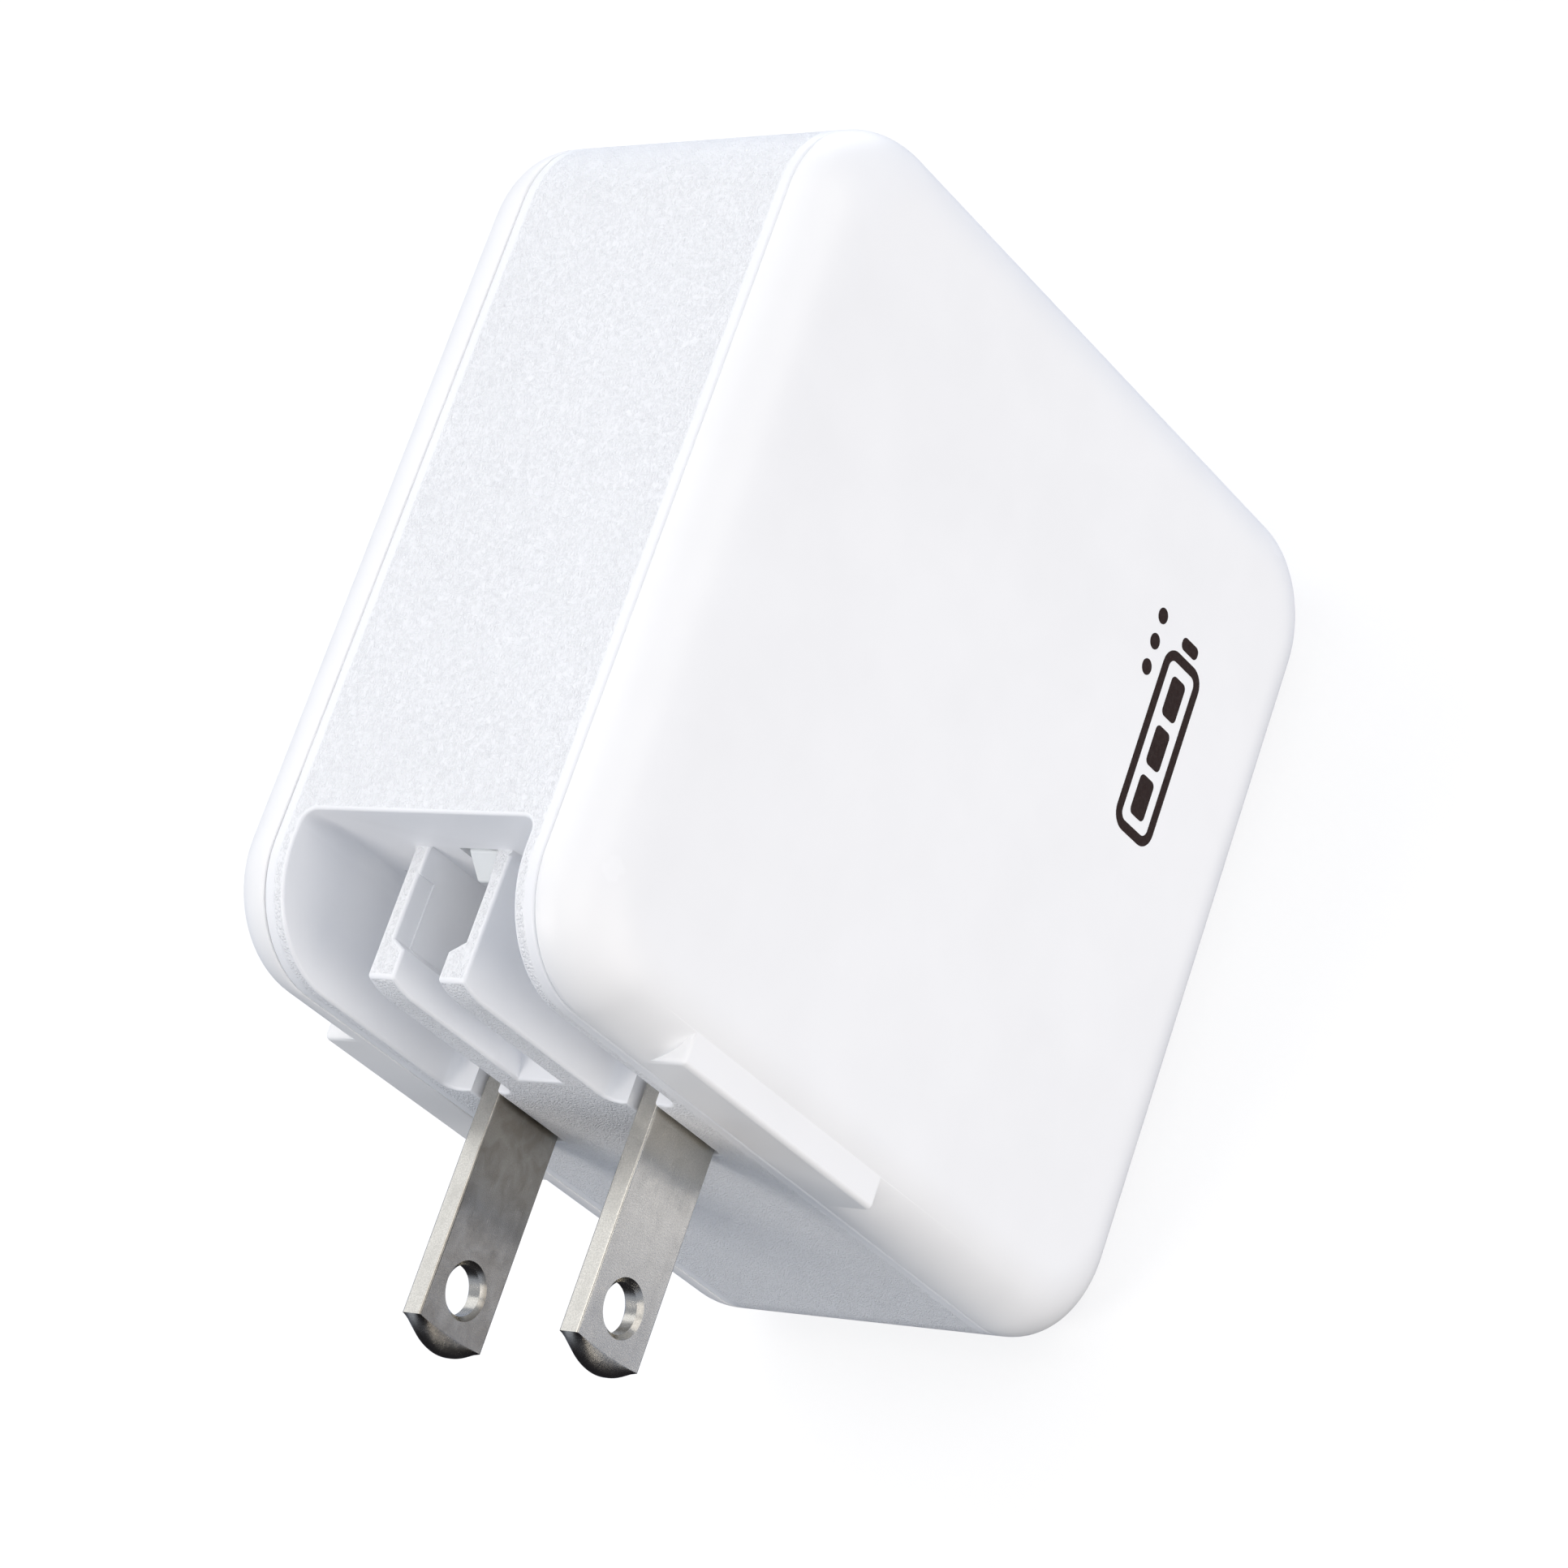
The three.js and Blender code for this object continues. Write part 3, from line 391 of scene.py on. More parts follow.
def window_tool():
    """The latch window: a shaft with a leaning, pointed front wall, and a small ledge low down in
    its notches."""
    low = GROOVE_DEPTH - 0.2
    notch = RIB_INNER + NOTCH_WIDTH
    shafts = []
    for wide, bottom, end in ((notch + NOTCH_LEDGE, NOTCH_LEDGE_END, NOTCH_LEDGE_DEPTH),
                              (notch, WINDOW_END, WINDOW_BACK)):
        right = [(RIB_INNER, inside(low)), (wide, inside(low + 0.7)), (wide, inside(end))]
        left = [(-x, y) for x, y in reversed(right)]
        outline = [(0, inside(low + 0.6)), *right, *left]
        shafts.append(prism(2, outline, below(bottom), below(RIB_TOP - 1)))
    front, lean_start, lean_end = 2, 7.9, 4.8
    floor, back, mouth_back = WINDOW_END + 0.1, WINDOW_BACK + 0.1, POCKET_DEPTH - 0.05
    side = side_outline(
        (front, RIB_TOP - 2), (front, lean_start), (lean_end, floor), (back, floor),
        (back, RIB_TOP), (mouth_back, RIB_TOP), (mouth_back, RIB_TOP - 2))
    return keep(join(*shafts), prism(0, side, -FRAME_HALF, FRAME_HALF))


def rotor_tools():
    """The room for the rotor and the blade roots, open towards the inside."""
    y, z = inside(PIVOT[0]), below(PIVOT[1])
    back = inside(HOUSING_DEPTH + 1)
    near, far = CHANNEL
    tools = [
        rod(0, HUB_ROOM, -near - 0.1, near + 0.1, y, z),
        block((-near - 0.12, near + 0.12), (y, back), (z - HUB_ROOM + 0.01, z + HUB_ROOM - 0.01)),
    ]
    for side in SIDES:
        channel = (side * near, side * far)
        bearing = sorted((side * (far - 0.1), side * POCKET_HALF))
        tools += [
            rod(0, BLADE_ROOM, *sorted(channel), y, z),
            block(channel, (y, back + 0.1), (z - BLADE_ROOM + 0.02, z + BLADE_ROOM - 0.02)),
            pocket_block(channel, (-2, PIVOT[0]), (SLOT_END - 1.5, PIVOT[1] + BLADE_ROOM)),
            pocket_block(channel, (PIVOT[0] - 0.1, SLOT_DEPTH - 0.25), (SLOT_END - 1.5, PIVOT[1])),
            rod(0, TRUNNION_ROOM, *bearing, y, z),
            block(bearing, (y, back + 0.2), (z - TRUNNION_ROOM + 0.01, z + TRUNNION_ROOM - 0.01)),
        ]
    return tools


# The sockets: the gap round each shell, and the corner radius of each kind of shell.
PORTS = ("usb_c_1", "usb_c_2", "usb_a")
PORT_ROOM = 0.25
PORT_RADIUS = {"usb_c": 1.5, "usb_a": 0.6}

# The rounding of the openings' rims and the ribs' top edges, and how near the body's outline the
# middle of a face has to lie to count as part of its skin.
RIM_ROUND = 0.22
SKIN_TOLERANCE = 0.08


def port_outline(port, grow, steps=10):
    """The outline of a socket's shell in the (X, Z) plane, grown by an amount."""
    low, high = box_mm(f"{port}_shell")
    radius = max(PORT_RADIUS[port[:5]] + grow, 0.15)
    return rounded_rectangle(
        low.x - grow, low.z - grow, high.x + grow, high.z + grow, radius, steps)


def middle_frame():
    shell = prism(0, body_outline(0), -FRAME_HALF, FRAME_HALF, "middle_frame_fine")
    hollow = prism(0, body_outline(FRAME_WALL), -FRAME_HALF - 1, FRAME_HALF + 1)
    housing = (-HOUSING_HALF, HOUSING_HALF)
    cut(hollow,
        pocket_block(housing, (-1, HOUSING_DEPTH), (-1, HOUSING_END)),
        pocket_block(housing, (-1, POCKET_DEPTH + HOUSING_WALL), (-1, HOUSING_WALL_END)))
    passage = pocket_block(
        PASSAGE_X, (POCKET_DEPTH, CATCH_FOOT_DEPTH + 1), (RIB_TOP + 0.05, PASSAGE_END))
    openings = [prism(1, port_outline(port, PORT_ROOM), PORT_Y - 3, PORT_Y + 1) for port in PORTS]
    cut(shell, hollow, pocket_tool(), *recess_tools(), groove_tool(), window_tool(), passage,
        *rotor_tools(), *openings)
    mended(shell)

    def on_skin(face):
        gap = outline_gap(face.calc_center_median())
        return abs(face.normal.x) < 0.5 and gap < SKIN_TOLERANCE

    def rule(edge):
        if not is_sharp(edge):
            return 0
        middle = middle_of(edge)
        faces = edge.link_faces
        outside = sum(on_skin(face) for face in faces)
        if outside == 1:
            return 1 if edge.is_convex else 0
        on_rib = middle.y < inside(POCKET_DEPTH - 0.3) and abs(middle.x) < RIB_OUTER + 0.1
        return 1 if on_rib and abs(middle.z - below(RIB_TOP)) < 0.1 and edge.is_convex else 0

    rounded(shell, rule, RIM_ROUND)
    return finished(shell, "charger", "shell_grained", "middle_frame")


# ---- Covers -------------------------------------------------------------------------------------

# A cover's rounded edge, by how far in it reaches, and the thickness of its large face. Then how
# fast its corners sharpen with the inset, and the power of the edge's superellipse.
COVER_EDGE = 4.5
COVER_WALL = 1.6
CORNER_SHRINK = 0.62
EDGE_POWER = 2.15

# The lip that enters the frame, and the gap in it along the socket side, which stops short of the
# two ends by the margin.
LIP_DEPTH = 1.5
LIP_WALL = 1.2
LIP_INSET = FRAME_WALL + 0.3
PORT_GAP_DEPTH = 20
PORT_GAP_MARGIN = 6

# The adapter rail, which stands up to RAIL_FACE from the middle plane and reaches RAIL_HEIGHT in
# from the plug side, and the back cover's posts for the main board.
RAIL_DROPS = (13.3, 34.2)
RAIL_HEIGHT = 2.7
RAIL_FACE = 14.5
RAIL_ROUND = 0.35
POST_RADIUS = 1.6
POST_DEPTHS = (16, 43)
POST_DROPS = (9, 51)

# Both covers' faces stop this far inside the CAD box, so that the mark on the front one fits.
INK_THICKNESS = 0.02
COVER_FACE = HALF_THICKNESS - INK_THICKNESS


def edge_profile(start, top, first, reach, steps):
    """The rounded edge of a cover, as (distance from the middle plane, inset) pairs."""
    profile = []
    for angle in np.radians(np.linspace(0, 90, steps + 1)):
        rise = math.sin(angle) ** (2 / EDGE_POWER)
        inset = 1 - max(math.cos(angle), 0) ** (2 / EDGE_POWER)
        profile.append((start + (top - start) * rise, first + reach * inset))
    return profile


def corner_at(inset):
    """The outline's corner radius at an inset: it shrinks more slowly than the inset grows."""
    return CORNER_RADIUS - CORNER_SHRINK * inset


def cover_shell(side, name):
    """A dish with a rounded edge outside, a hollow inside and a lip that enters the frame."""
    lip_end = COVER_START - 0.2 - LIP_DEPTH
    shoulder, seam_depth, seam_round = FRAME_HALF + 0.005, 0.14, 0.08
    outside = [
        (lip_end, LIP_INSET), (shoulder + 0.01, LIP_INSET), (shoulder, LIP_INSET - 0.02),
        (shoulder, seam_depth + 0.02), (COVER_START, seam_depth),
        (COVER_START, seam_round), (COVER_START + 0.03, 0.03),
        *edge_profile(COVER_START + seam_round, COVER_FACE, 0, COVER_EDGE, 22),
    ]
    hollow = [
        (lip_end, LIP_INSET + LIP_WALL),
        *edge_profile(COVER_START + 0.5, COVER_FACE - COVER_WALL, LIP_INSET + LIP_WALL, 3, 8),
    ]
    rings = [(side * x, body_outline(inset, corner_at(inset), 20))
             for x, inset in [*reversed(hollow), *outside]]
    return loft(name, 0, rings)


def cover(side, node):
    """A cover with its rail. The lip leaves out the rotor's housing and the sockets."""
    shell = cover_shell(side, f"{node}_fine")
    lip_x = (side * (COVER_START - 2.5), side * (COVER_START - 0.001))
    cut(shell,
        pocket_block(lip_x, (-1, POCKET_DEPTH + HOUSING_WALL + 1), (-1, HOUSING_END + 1)),
        block(lip_x, (PORT_Y - PORT_GAP_DEPTH, PORT_Y + 1),
              (PORT_GAP_MARGIN, TOP_Z - PORT_GAP_MARGIN)))
    rail = pocket_block((side * COVER_START, side * RAIL_FACE), (0, RAIL_HEIGHT), RAIL_DROPS)
    rounded(rail, lambda edge: 1, RAIL_ROUND, 4)
    join(shell, rail)
    if side < 0:
        board_x = box_mm("main_board")[0].x
        ends = (-HALF_THICKNESS + 1, board_x - 0.05)
        posts = [rod(0, POST_RADIUS, *ends, inside(depth), below(drop), 24)
                 for depth in POST_DEPTHS for drop in POST_DROPS]
        join(shell, *posts)
    mended(shell, 0.05)
    return finished(shell, "charger", "shell_satin", node)


# ---- Blades -------------------------------------------------------------------------------------

# The radius of a blade's edges, how deep its tip is coined from each face, and how far the tip
# bulges at the middle of its thickness and at its faces.
BLADE_EDGE = 0.14
BLADE_COIN = 0.62
TIP_SAG = 1.3
TIP_FACE_SAG = 0.12

# The hole near the tip, by how far out from the plug side it is, and the one for the rotor's core.
HOLE_OUT = 11.7
HOLE_RADIUS = 1.6
HOLE_FLARE = 0.3
CORE_HOLE_RADIUS = 1.3


def blade(node):
    """A flat blade with rounded long edges, a coined arc tip and a countersunk hole."""
    low, high = box_mm(node)
    z = below(PIVOT[1])
    pivot_y = inside(PIVOT[0])
    half = (high.z - low.z) / 2

    def outline(inset, sag):
        """The blade's outline: a round root, and a tip that bulges by the sag."""
        wide = half - inset
        radius = (wide * wide + sag * sag) / (2 * sag)
        angle = math.asin(wide / radius)
        centre = low.y + TIP_SAG - sag + radius
        tip = [(centre - radius * math.cos(a), z + radius * math.sin(a))
               for a in np.linspace(angle, -angle, 25)]
        return [*arc(pivot_y, z, wide, -90, 90, 24), *tip]

    thickness = high.x - low.x
    steps = [(BLADE_EDGE * (1 - math.cos(a)), BLADE_EDGE * (1 - math.sin(a)))
             for a in np.radians(np.linspace(0, 90, 5))]
    steps += [(BLADE_COIN * share, 0) for share in (0.5, 0.8, 0.95, 1)]
    rings = []
    for x, inset in steps:
        share = math.sin(x / BLADE_COIN * math.pi / 2) ** 0.8
        rings.append((x, outline(inset, TIP_FACE_SAG + (TIP_SAG - TIP_FACE_SAG) * share)))
    rings = [*((low.x + x, ring) for x, ring in rings),
             *((low.x + thickness - x, ring) for x, ring in reversed(rings))]
    item = loft(f"{node}_fine", 0, rings)
    mouth = HOLE_RADIUS + HOLE_FLARE + 0.1
    hole = [(low.x - 0.1, mouth), (low.x + HOLE_FLARE, HOLE_RADIUS),
            (high.x - HOLE_FLARE, HOLE_RADIUS), (high.x + 0.1, mouth)]
    sides = 48
    rings = [(x, arc(inside(-HOLE_OUT), z, radius, 0, 360 - 360 / sides, sides - 1))
             for x, radius in hole]
    cut(item,
        loft("tool", 0, rings),
        rod(0, CORE_HOLE_RADIUS, low.x - 1, high.x + 1, pivot_y, z))
    return finished(item, "plug", "blade_nickel", node)


# ---- Rotor and catch ----------------------------------------------------------------------------

# The hub's detent flats: half their width, and how deep they are cut.
FLAT_HALF = 3
FLAT_CUT = 0.35
CORE_RADIUS = 1.0
TRUNNION_RADIUS = 1.6


def blade_rotor():
    """The hub with its two detent flats, the core through the blade roots, and the trunnions."""
    low, high = box_mm("blade_rotor")
    inner, outer = box_mm("blade_right")[0].x, box_mm("blade_right")[1].x
    y, z = inside(PIVOT[0]), below(PIVOT[1])
    radius = high.z - z
    hub_end, bearing_start = inner - 0.1, outer + 0.1
    flat, reach, ends = radius - FLAT_CUT, radius + 1, (-FLAT_HALF, FLAT_HALF)
    hub = rod(0, radius, -hub_end, hub_end, y, z, 64)
    hub.name = hub.data.name = "blade_rotor_fine"
    cut(hub,
        block(ends, (y + flat, y + reach), (z - reach, z + reach)),
        block(ends, (y - reach, y + reach), (z - reach, z - flat)))
    rounded(hub, lambda edge: is_sharp(edge, 40), 0.12, 2)
    join(hub,
         rod(0, CORE_RADIUS, -bearing_start - 0.2, bearing_start + 0.2, y, z, 32),
         rod(0, TRUNNION_RADIUS, low.x, -bearing_start, y, z, 48),
         rod(0, TRUNNION_RADIUS, bearing_start, high.x, y, z, 48))
    return finished(hub, "plug", "inner_plastic", "blade_rotor")


def latch_catch():
    """The catch behind the latch window, with a sloping, rounded nose."""
    low, high = box_mm("latch_catch")
    top, arm_end, step, nose = RIB_TOP + 0.3, 20, 16.1, 7.1
    back, tail = 12.3, 9.9
    outline = side_outline(
        (POCKET_DEPTH, top), (back, top), (back, arm_end), (tail, arm_end), (tail, step),
        (CATCH_FOOT_DEPTH, step), (CATCH_FOOT_DEPTH, nose), (8.4, nose), (8.05, 6.95), (7.9, 6.5))
    item = prism(0, outline, low.x, high.x, "latch_catch_fine")
    rounded(item, lambda edge: is_sharp(edge, 40), 0.18, 3)
    return finished(item, "charger", "inner_plastic", "latch_catch")


# ---- Sockets ------------------------------------------------------------------------------------

SHELL_WALL = 0.3
# A tongue's half width, thickness, offset from the middle plane and the length of its base.
TONGUES = {"usb_c": (3.35, 0.7, 0.0, 5.0), "usb_a": (5.5, 1.8, -1.1, 2.5)}
# How many contacts a side has, then their pitch, width and length.
CONTACTS = {"usb_c": (12, 0.5, 0.28, 4.2), "usb_a": (4, 2.3, 1.0, 6.2)}
CONTACT_HEIGHT = 0.05


def socket_shell(port):
    low, high = box_mm(f"{port}_shell")
    lip = 0.07
    rings = [
        (low.y, 0), (high.y - lip, 0), (high.y - 0.02, -0.02), (high.y, -lip),
        (high.y, lip - SHELL_WALL), (high.y - 0.25, -SHELL_WALL), (low.y, -SHELL_WALL),
    ]
    item = loft(f"{port}_shell_fine", 1, [(y, port_outline(port, grow)) for y, grow in rings], True)
    return finished(item, "charger", "steel", f"{port}_shell")


def socket_tongue(port):
    low, high = box_mm(f"{port}_tongue")
    half, thickness, lift, base = TONGUES[port[:5]]
    z = (low.z + high.z) / 2
    plate = prism(1, rounded_rectangle(
        lift - thickness / 2, z - half, lift + thickness / 2, z + half, 0.2),
        low.y + base - 0.5, high.y, f"{port}_tongue_fine")
    rounded(plate, lambda edge: middle_of(edge).y > high.y - 0.01 and is_sharp(edge), 0.15, 3)
    join(plate, prism(1, port_outline(port, -SHELL_WALL - 0.15), low.y, low.y + base))
    return finished(plate, "charger", "black_plastic", f"{port}_tongue")


def socket_contacts(port):
    """Gold contact strips on the tongue, joined into one piece."""
    low, high = box_mm(f"{port}_tongue")
    _, thickness, lift, _ = TONGUES[port[:5]]
    count, pitch, width, length = CONTACTS[port[:5]]
    z = (low.z + high.z) / 2
    tip = high.y - 0.45
    strips = []
    for side in SIDES if "usb_c" in port else (1,):
        face = lift + side * thickness / 2
        for index in range(count):
            middle = z + (index - (count - 1) / 2) * pitch
            outline = rounded_rectangle(
                tip - length, middle - width / 2, tip, middle + width / 2, 0.1, 3)
            ends = sorted((face - side * CONTACT_HEIGHT, face + side * CONTACT_HEIGHT))
            strips.append(prism(0, outline, *ends, name=f"{port}_contacts"))
    return finished(merged(strips), "charger", "bronze")


# ---- Mark ---------------------------------------------------------------------------------------


def mark():
    """A plain battery pictogram with three dots over it, printed on the front cover."""
    y, z = MIDDLE_Y + 2.4, below(48.8)
    long, high, stroke, radius = 13.2, 4.6, 0.7, 1.3
    tab_start, tab_end, tab_inset = 0.4, 1.3, 1.3
    bar, gap, bar_inset, corner = 2.9, 0.75, 1.45, 0.4
    dot_radius, dot_start, dot_pitch, dot_rise = 0.55, 2.6, 1.9, 1.5
    face, top = COVER_FACE - 0.01, HALF_THICKNESS
    case = [
        rounded_rectangle(y + i, z + i, y + long - i, z + high - i, radius - i, 8)
        for i in (0, stroke)
    ]
    pieces = [loft("generic_mark", 0, [(face, case[0]), (top, case[0]), (top, case[1]),
                                       (face, case[1])], True)]
    tab = rounded_rectangle(
        y + long + tab_start, z + tab_inset, y + long + tab_end, z + high - tab_inset, corner)
    pieces.append(prism(0, tab, face, top))
    for index in range(3):
        start = y + stroke + gap + index * (bar + gap)
        outline = rounded_rectangle(
            start, z + bar_inset, start + bar, z + high - bar_inset, corner)
        pieces.append(prism(0, outline, face, top))
    for index in range(3):
        dot_y = y + long - dot_start + index * dot_pitch
        pieces.append(rod(0, dot_radius, face, top, dot_y, z + high + dot_rise, 28))
    return finished(merged(pieces), "charger", "print_ink")


# ---- Materials ----------------------------------------------------------------------------------


class Recipe:
    """A node material whose textures are placed in millimetres on the object."""

    def __init__(self, name, colour, constants=None):
        self.material = bpy.data.materials.new(name)
        self.material.use_nodes = True
        self.nodes = self.material.node_tree.nodes
        self.links = self.material.node_tree.links
        self.shader = self.nodes["Principled BSDF"]
        self.colour = (*colour[:3], 1)
        self.place = self.node("ShaderNodeTexCoord").outputs["Object"]
        self.heights = None
        for socket, value in (constants or {}).items():
            self.shader.inputs[socket].default_value = value
        self.result = None

    def node(self, kind, inputs=None, **settings):
        made = self.nodes.new(kind)
        for key, value in settings.items():
            setattr(made, key, value)
        for key, value in (inputs or {}).items():
            if isinstance(value, bpy.types.NodeSocket):
                self.links.new(value, made.inputs[key])
            else:
                made.inputs[key].default_value = value
        return made

    def stretched(self, size):
        """The object's coordinates, divided by a size in millimetres along each axis."""
        size = size if isinstance(size, tuple) else (size, size, size)
        scale = tuple(1 / (s * MM) for s in size)
        return self.node("ShaderNodeMapping", {"Vector": self.place, "Scale": scale}).outputs[0]

    def noise(self, size, detail=2.0, distortion=0.0):
        return self.node("ShaderNodeTexNoise", {
            "Vector": self.stretched(size), "Scale": 1.0, "Detail": detail,
            "Distortion": distortion}).outputs["Fac"]

    def cells(self, size, feature="F1", wobble=0.0, wobble_size=1.0):
        vector = self.stretched(size)
        if wobble:
            push = self.node("ShaderNodeTexNoise", {
                "Vector": self.stretched(wobble_size), "Scale": 1.0, "Detail": 2.0})
            vector = self.node("ShaderNodeVectorMath", {
                0: push.outputs["Color"], 1: (wobble,) * 3, 2: vector},
                operation="MULTIPLY_ADD").outputs[0]
        return self.node("ShaderNodeTexVoronoi", {"Vector": vector, "Scale": 1.0},
                         feature=feature).outputs["Distance"]

    def span(self, value, low, high, start=0.0, end=1.0, smooth=False):
        return self.node("ShaderNodeMapRange", {
            "Value": value, "From Min": low, "From Max": high, "To Min": start, "To Max": end},
            interpolation_type="SMOOTHSTEP" if smooth else "LINEAR").outputs[0]

    def math(self, operation, a, b=0.0):
        return self.node("ShaderNodeMath", {0: a, 1: b}, operation=operation).outputs[0]

    def coordinate(self, axis):
        """A coordinate in millimetres."""
        split = self.node("ShaderNodeSeparateXYZ", {"Vector": self.place}).outputs[axis]
        return self.math("MULTIPLY", split, 1 / MM)

    def mix(self, factor, other):
        """Blends the colour so far towards another one."""
        start = self.result or self.colour
        blend = self.node("ShaderNodeMix", {"Factor": factor, "A": start}, data_type="RGBA")
        self.node_colour(blend, "B", other)
        self.node_colour(blend, "A", start)
        self.result = blend.outputs[2]

    def node_colour(self, blend, key, value):
        socket = [s for s in blend.inputs if s.name == key and s.type == "RGBA"][0]
        if isinstance(value, bpy.types.NodeSocket):
            self.links.new(value, socket)
        else:
            socket.default_value = (*value[:3], 1)

    def edges(self, low=0.49, high=0.56):
        """Where convex edges are."""
        return self.span(self.node("ShaderNodeNewGeometry").outputs["Pointiness"], low, high)

    def bump(self, height, depth, strength=1.0):
        """Adds relief, with its depth in millimetres."""
        inputs = {"Height": height, "Distance": depth * MM, "Strength": strength}
        if self.heights:
            inputs["Normal"] = self.heights
        self.heights = self.node("ShaderNodeBump", inputs).outputs[0]

    def roughness(self, value, low, high):
        self.links.new(self.span(value, 0.3, 0.7, low, high), self.shader.inputs["Roughness"])

    def done(self):
        if self.result:
            self.links.new(self.result, self.shader.inputs["Base Color"])
        else:
            self.shader.inputs["Base Color"].default_value = self.colour
        if self.heights:
            self.links.new(self.heights, self.shader.inputs["Normal"])
        return self.material


def scaled(colour, factor):
    return tuple(channel * factor for channel in colour[:3])


def shell_plastic(name, colour):
    """White moulded plastic with faint clouding, satin spark texture and painted edge highlights.
    """
    recipe = Recipe(name, colour, {"IOR": 1.5})
    recipe.mix(recipe.span(recipe.noise(9.0, 3), 0.35, 0.65), scaled(colour, 0.975))
    # Painted highlight: convex edges are lightened.
    recipe.mix(recipe.math("MULTIPLY", recipe.edges(), 0.5), scaled(colour, 1.03))
    recipe.bump(recipe.noise(0.07, 2), 0.0016)
    recipe.bump(recipe.noise(14.0, 1), 0.012)
    return recipe


def satin_shell(name, colour):
    recipe = shell_plastic(name, colour)
    recipe.roughness(recipe.noise(2.5, 4), 0.36, 0.46)
    return recipe.done()


def grained_shell(name, colour):
    """The frame band: leather-like wrinkles on its outer faces, smooth beside the seams."""
    recipe = shell_plastic(name, colour)
    across = recipe.math("ABSOLUTE", recipe.coordinate("X"))
    on_band = recipe.span(across, 9.85, 10.1, 1, 0, smooth=True)
    skin = recipe.node("ShaderNodeAttribute", attribute_name="skin").outputs["Fac"]
    grain = recipe.math("MULTIPLY", on_band, skin)
    creases = recipe.span(recipe.cells((0.21, 0.3, 0.25), "DISTANCE_TO_EDGE", 1.1, 0.7), 0, 0.34,
                          smooth=True)
    pebbles = recipe.math("ADD", creases, recipe.math("MULTIPLY", recipe.noise(0.14, 3), 0.8))
    recipe.bump(recipe.math("MULTIPLY", pebbles, grain), 0.045)
    # Painted shade: the grain's creases are darkened a little.
    recipe.mix(recipe.math("MULTIPLY", recipe.span(creases, 0, 0.6, 0.25, 0), grain),
               scaled(colour, 0.975))
    recipe.roughness(recipe.noise(0.3, 4), 0.32, 0.50)
    return recipe.done()


def smooth_plastic(name, colour, roughness=(0.35, 0.5), grain=0.1):
    recipe = Recipe(name, colour, {"IOR": 1.5})
    recipe.mix(recipe.span(recipe.noise(3.0, 3), 0.35, 0.65), scaled(colour, 0.85))
    # Painted highlight: convex edges are lightened.
    recipe.mix(recipe.edges(), scaled(colour, 1.25))
    recipe.roughness(recipe.noise(0.8, 3), *roughness)
    recipe.bump(recipe.noise(grain, 2), 0.003)
    recipe.bump(recipe.noise(3.0, 2), 0.02)
    return recipe.done()


def rolled_metal(name, colour, along=1, roughness=(0.25, 0.42)):
    """Sheet metal with fine rolling marks along one axis, small stains and painted edge highlights.
    """
    recipe = Recipe(name, colour, {"Metallic": 1.0})
    size = [0.05, 0.05, 0.05]
    size[along] = 4.0
    marks = recipe.noise(tuple(size), 3)
    recipe.mix(recipe.span(recipe.noise(1.4, 4, 0.6), 0.45, 0.75), scaled(colour, 0.78))
    # Painted highlight: convex edges are lightened.
    recipe.mix(recipe.edges(0.5, 0.6), scaled(colour, 1.3))
    recipe.roughness(recipe.math("ADD", recipe.math("MULTIPLY", marks, 0.6),
                                 recipe.math("MULTIPLY", recipe.noise(0.8, 4), 0.4)), *roughness)
    recipe.bump(marks, 0.0012)
    recipe.bump(recipe.noise(0.5, 4), 0.0015)
    return recipe


def nickel(name, colour):
    """Nickel plate, duller and browner where the blades leave the body, with small scratches and a
    painted dark reflection on the left blade's inner face."""
    tint = tuple(channel * share for channel, share in zip(colour, (0.91, 0.89, 0.87)))
    recipe = rolled_metal(name, tint, 1, (0.17, 0.30))
    recipe.mix(recipe.span(recipe.noise(0.1, 2), 0.35, 0.65, 0, 0.6), scaled(tint, 0.8))
    bloom = recipe.span(recipe.coordinate("Y"), PLUG_Y - 7.0, PLUG_Y - 0.3, 0, 0.12, smooth=True)
    patches = recipe.span(recipe.noise((1.4, 1.8, 1.4), 5, 0.8), 0.35, 0.65)
    recipe.mix(recipe.math("MULTIPLY", bloom, patches), (0.27, 0.24, 0.18))
    # Painted dark reflection: the left blade's inner face is darkened in patches.
    left_face = box_mm("blade_left")[1].x
    painted_reflection = recipe.span(recipe.coordinate("X"), left_face - 0.25, left_face - 0.05)
    painted_reflection = recipe.math("MULTIPLY", painted_reflection, recipe.span(recipe.coordinate("X"), 0, 1, 1, 0))
    painted_reflection = recipe.math("MULTIPLY", painted_reflection, recipe.span(patches, 0, 1, 0.5, 0.82))
    recipe.mix(painted_reflection, (0.26, 0.235, 0.20))
    scratches = recipe.cells((0.9, 0.04, 1.6), "DISTANCE_TO_EDGE", 0.6, 3)
    scratches = recipe.span(scratches, 0, 0.02, 1, 0)
    rare = recipe.span(recipe.noise(1.5, 2), 0.55, 0.7)
    recipe.bump(recipe.math("MULTIPLY", scratches, rare), 0.0015)
    recipe.bump(recipe.noise(0.1, 3), 0.0035)
    return recipe.done()


def board(name, colour):
    """Green solder mask over copper tracks."""
    recipe = Recipe(name, colour, {"IOR": 1.5, "Coat Weight": 0.4, "Coat Roughness": 0.15})
    tracks = recipe.span(recipe.cells((1.6, 1.6, 1.6), "DISTANCE_TO_EDGE"), 0.10, 0.13)
    recipe.mix(tracks, scaled(colour, 1.6))
    pads = recipe.span(recipe.cells(2.3), 0.14, 0.17, 1, 0)
    recipe.mix(pads, (0.66, 0.60, 0.46))
    recipe.roughness(recipe.noise(0.5, 3), 0.3, 0.5)
    recipe.bump(tracks, 0.02)
    return recipe.done()


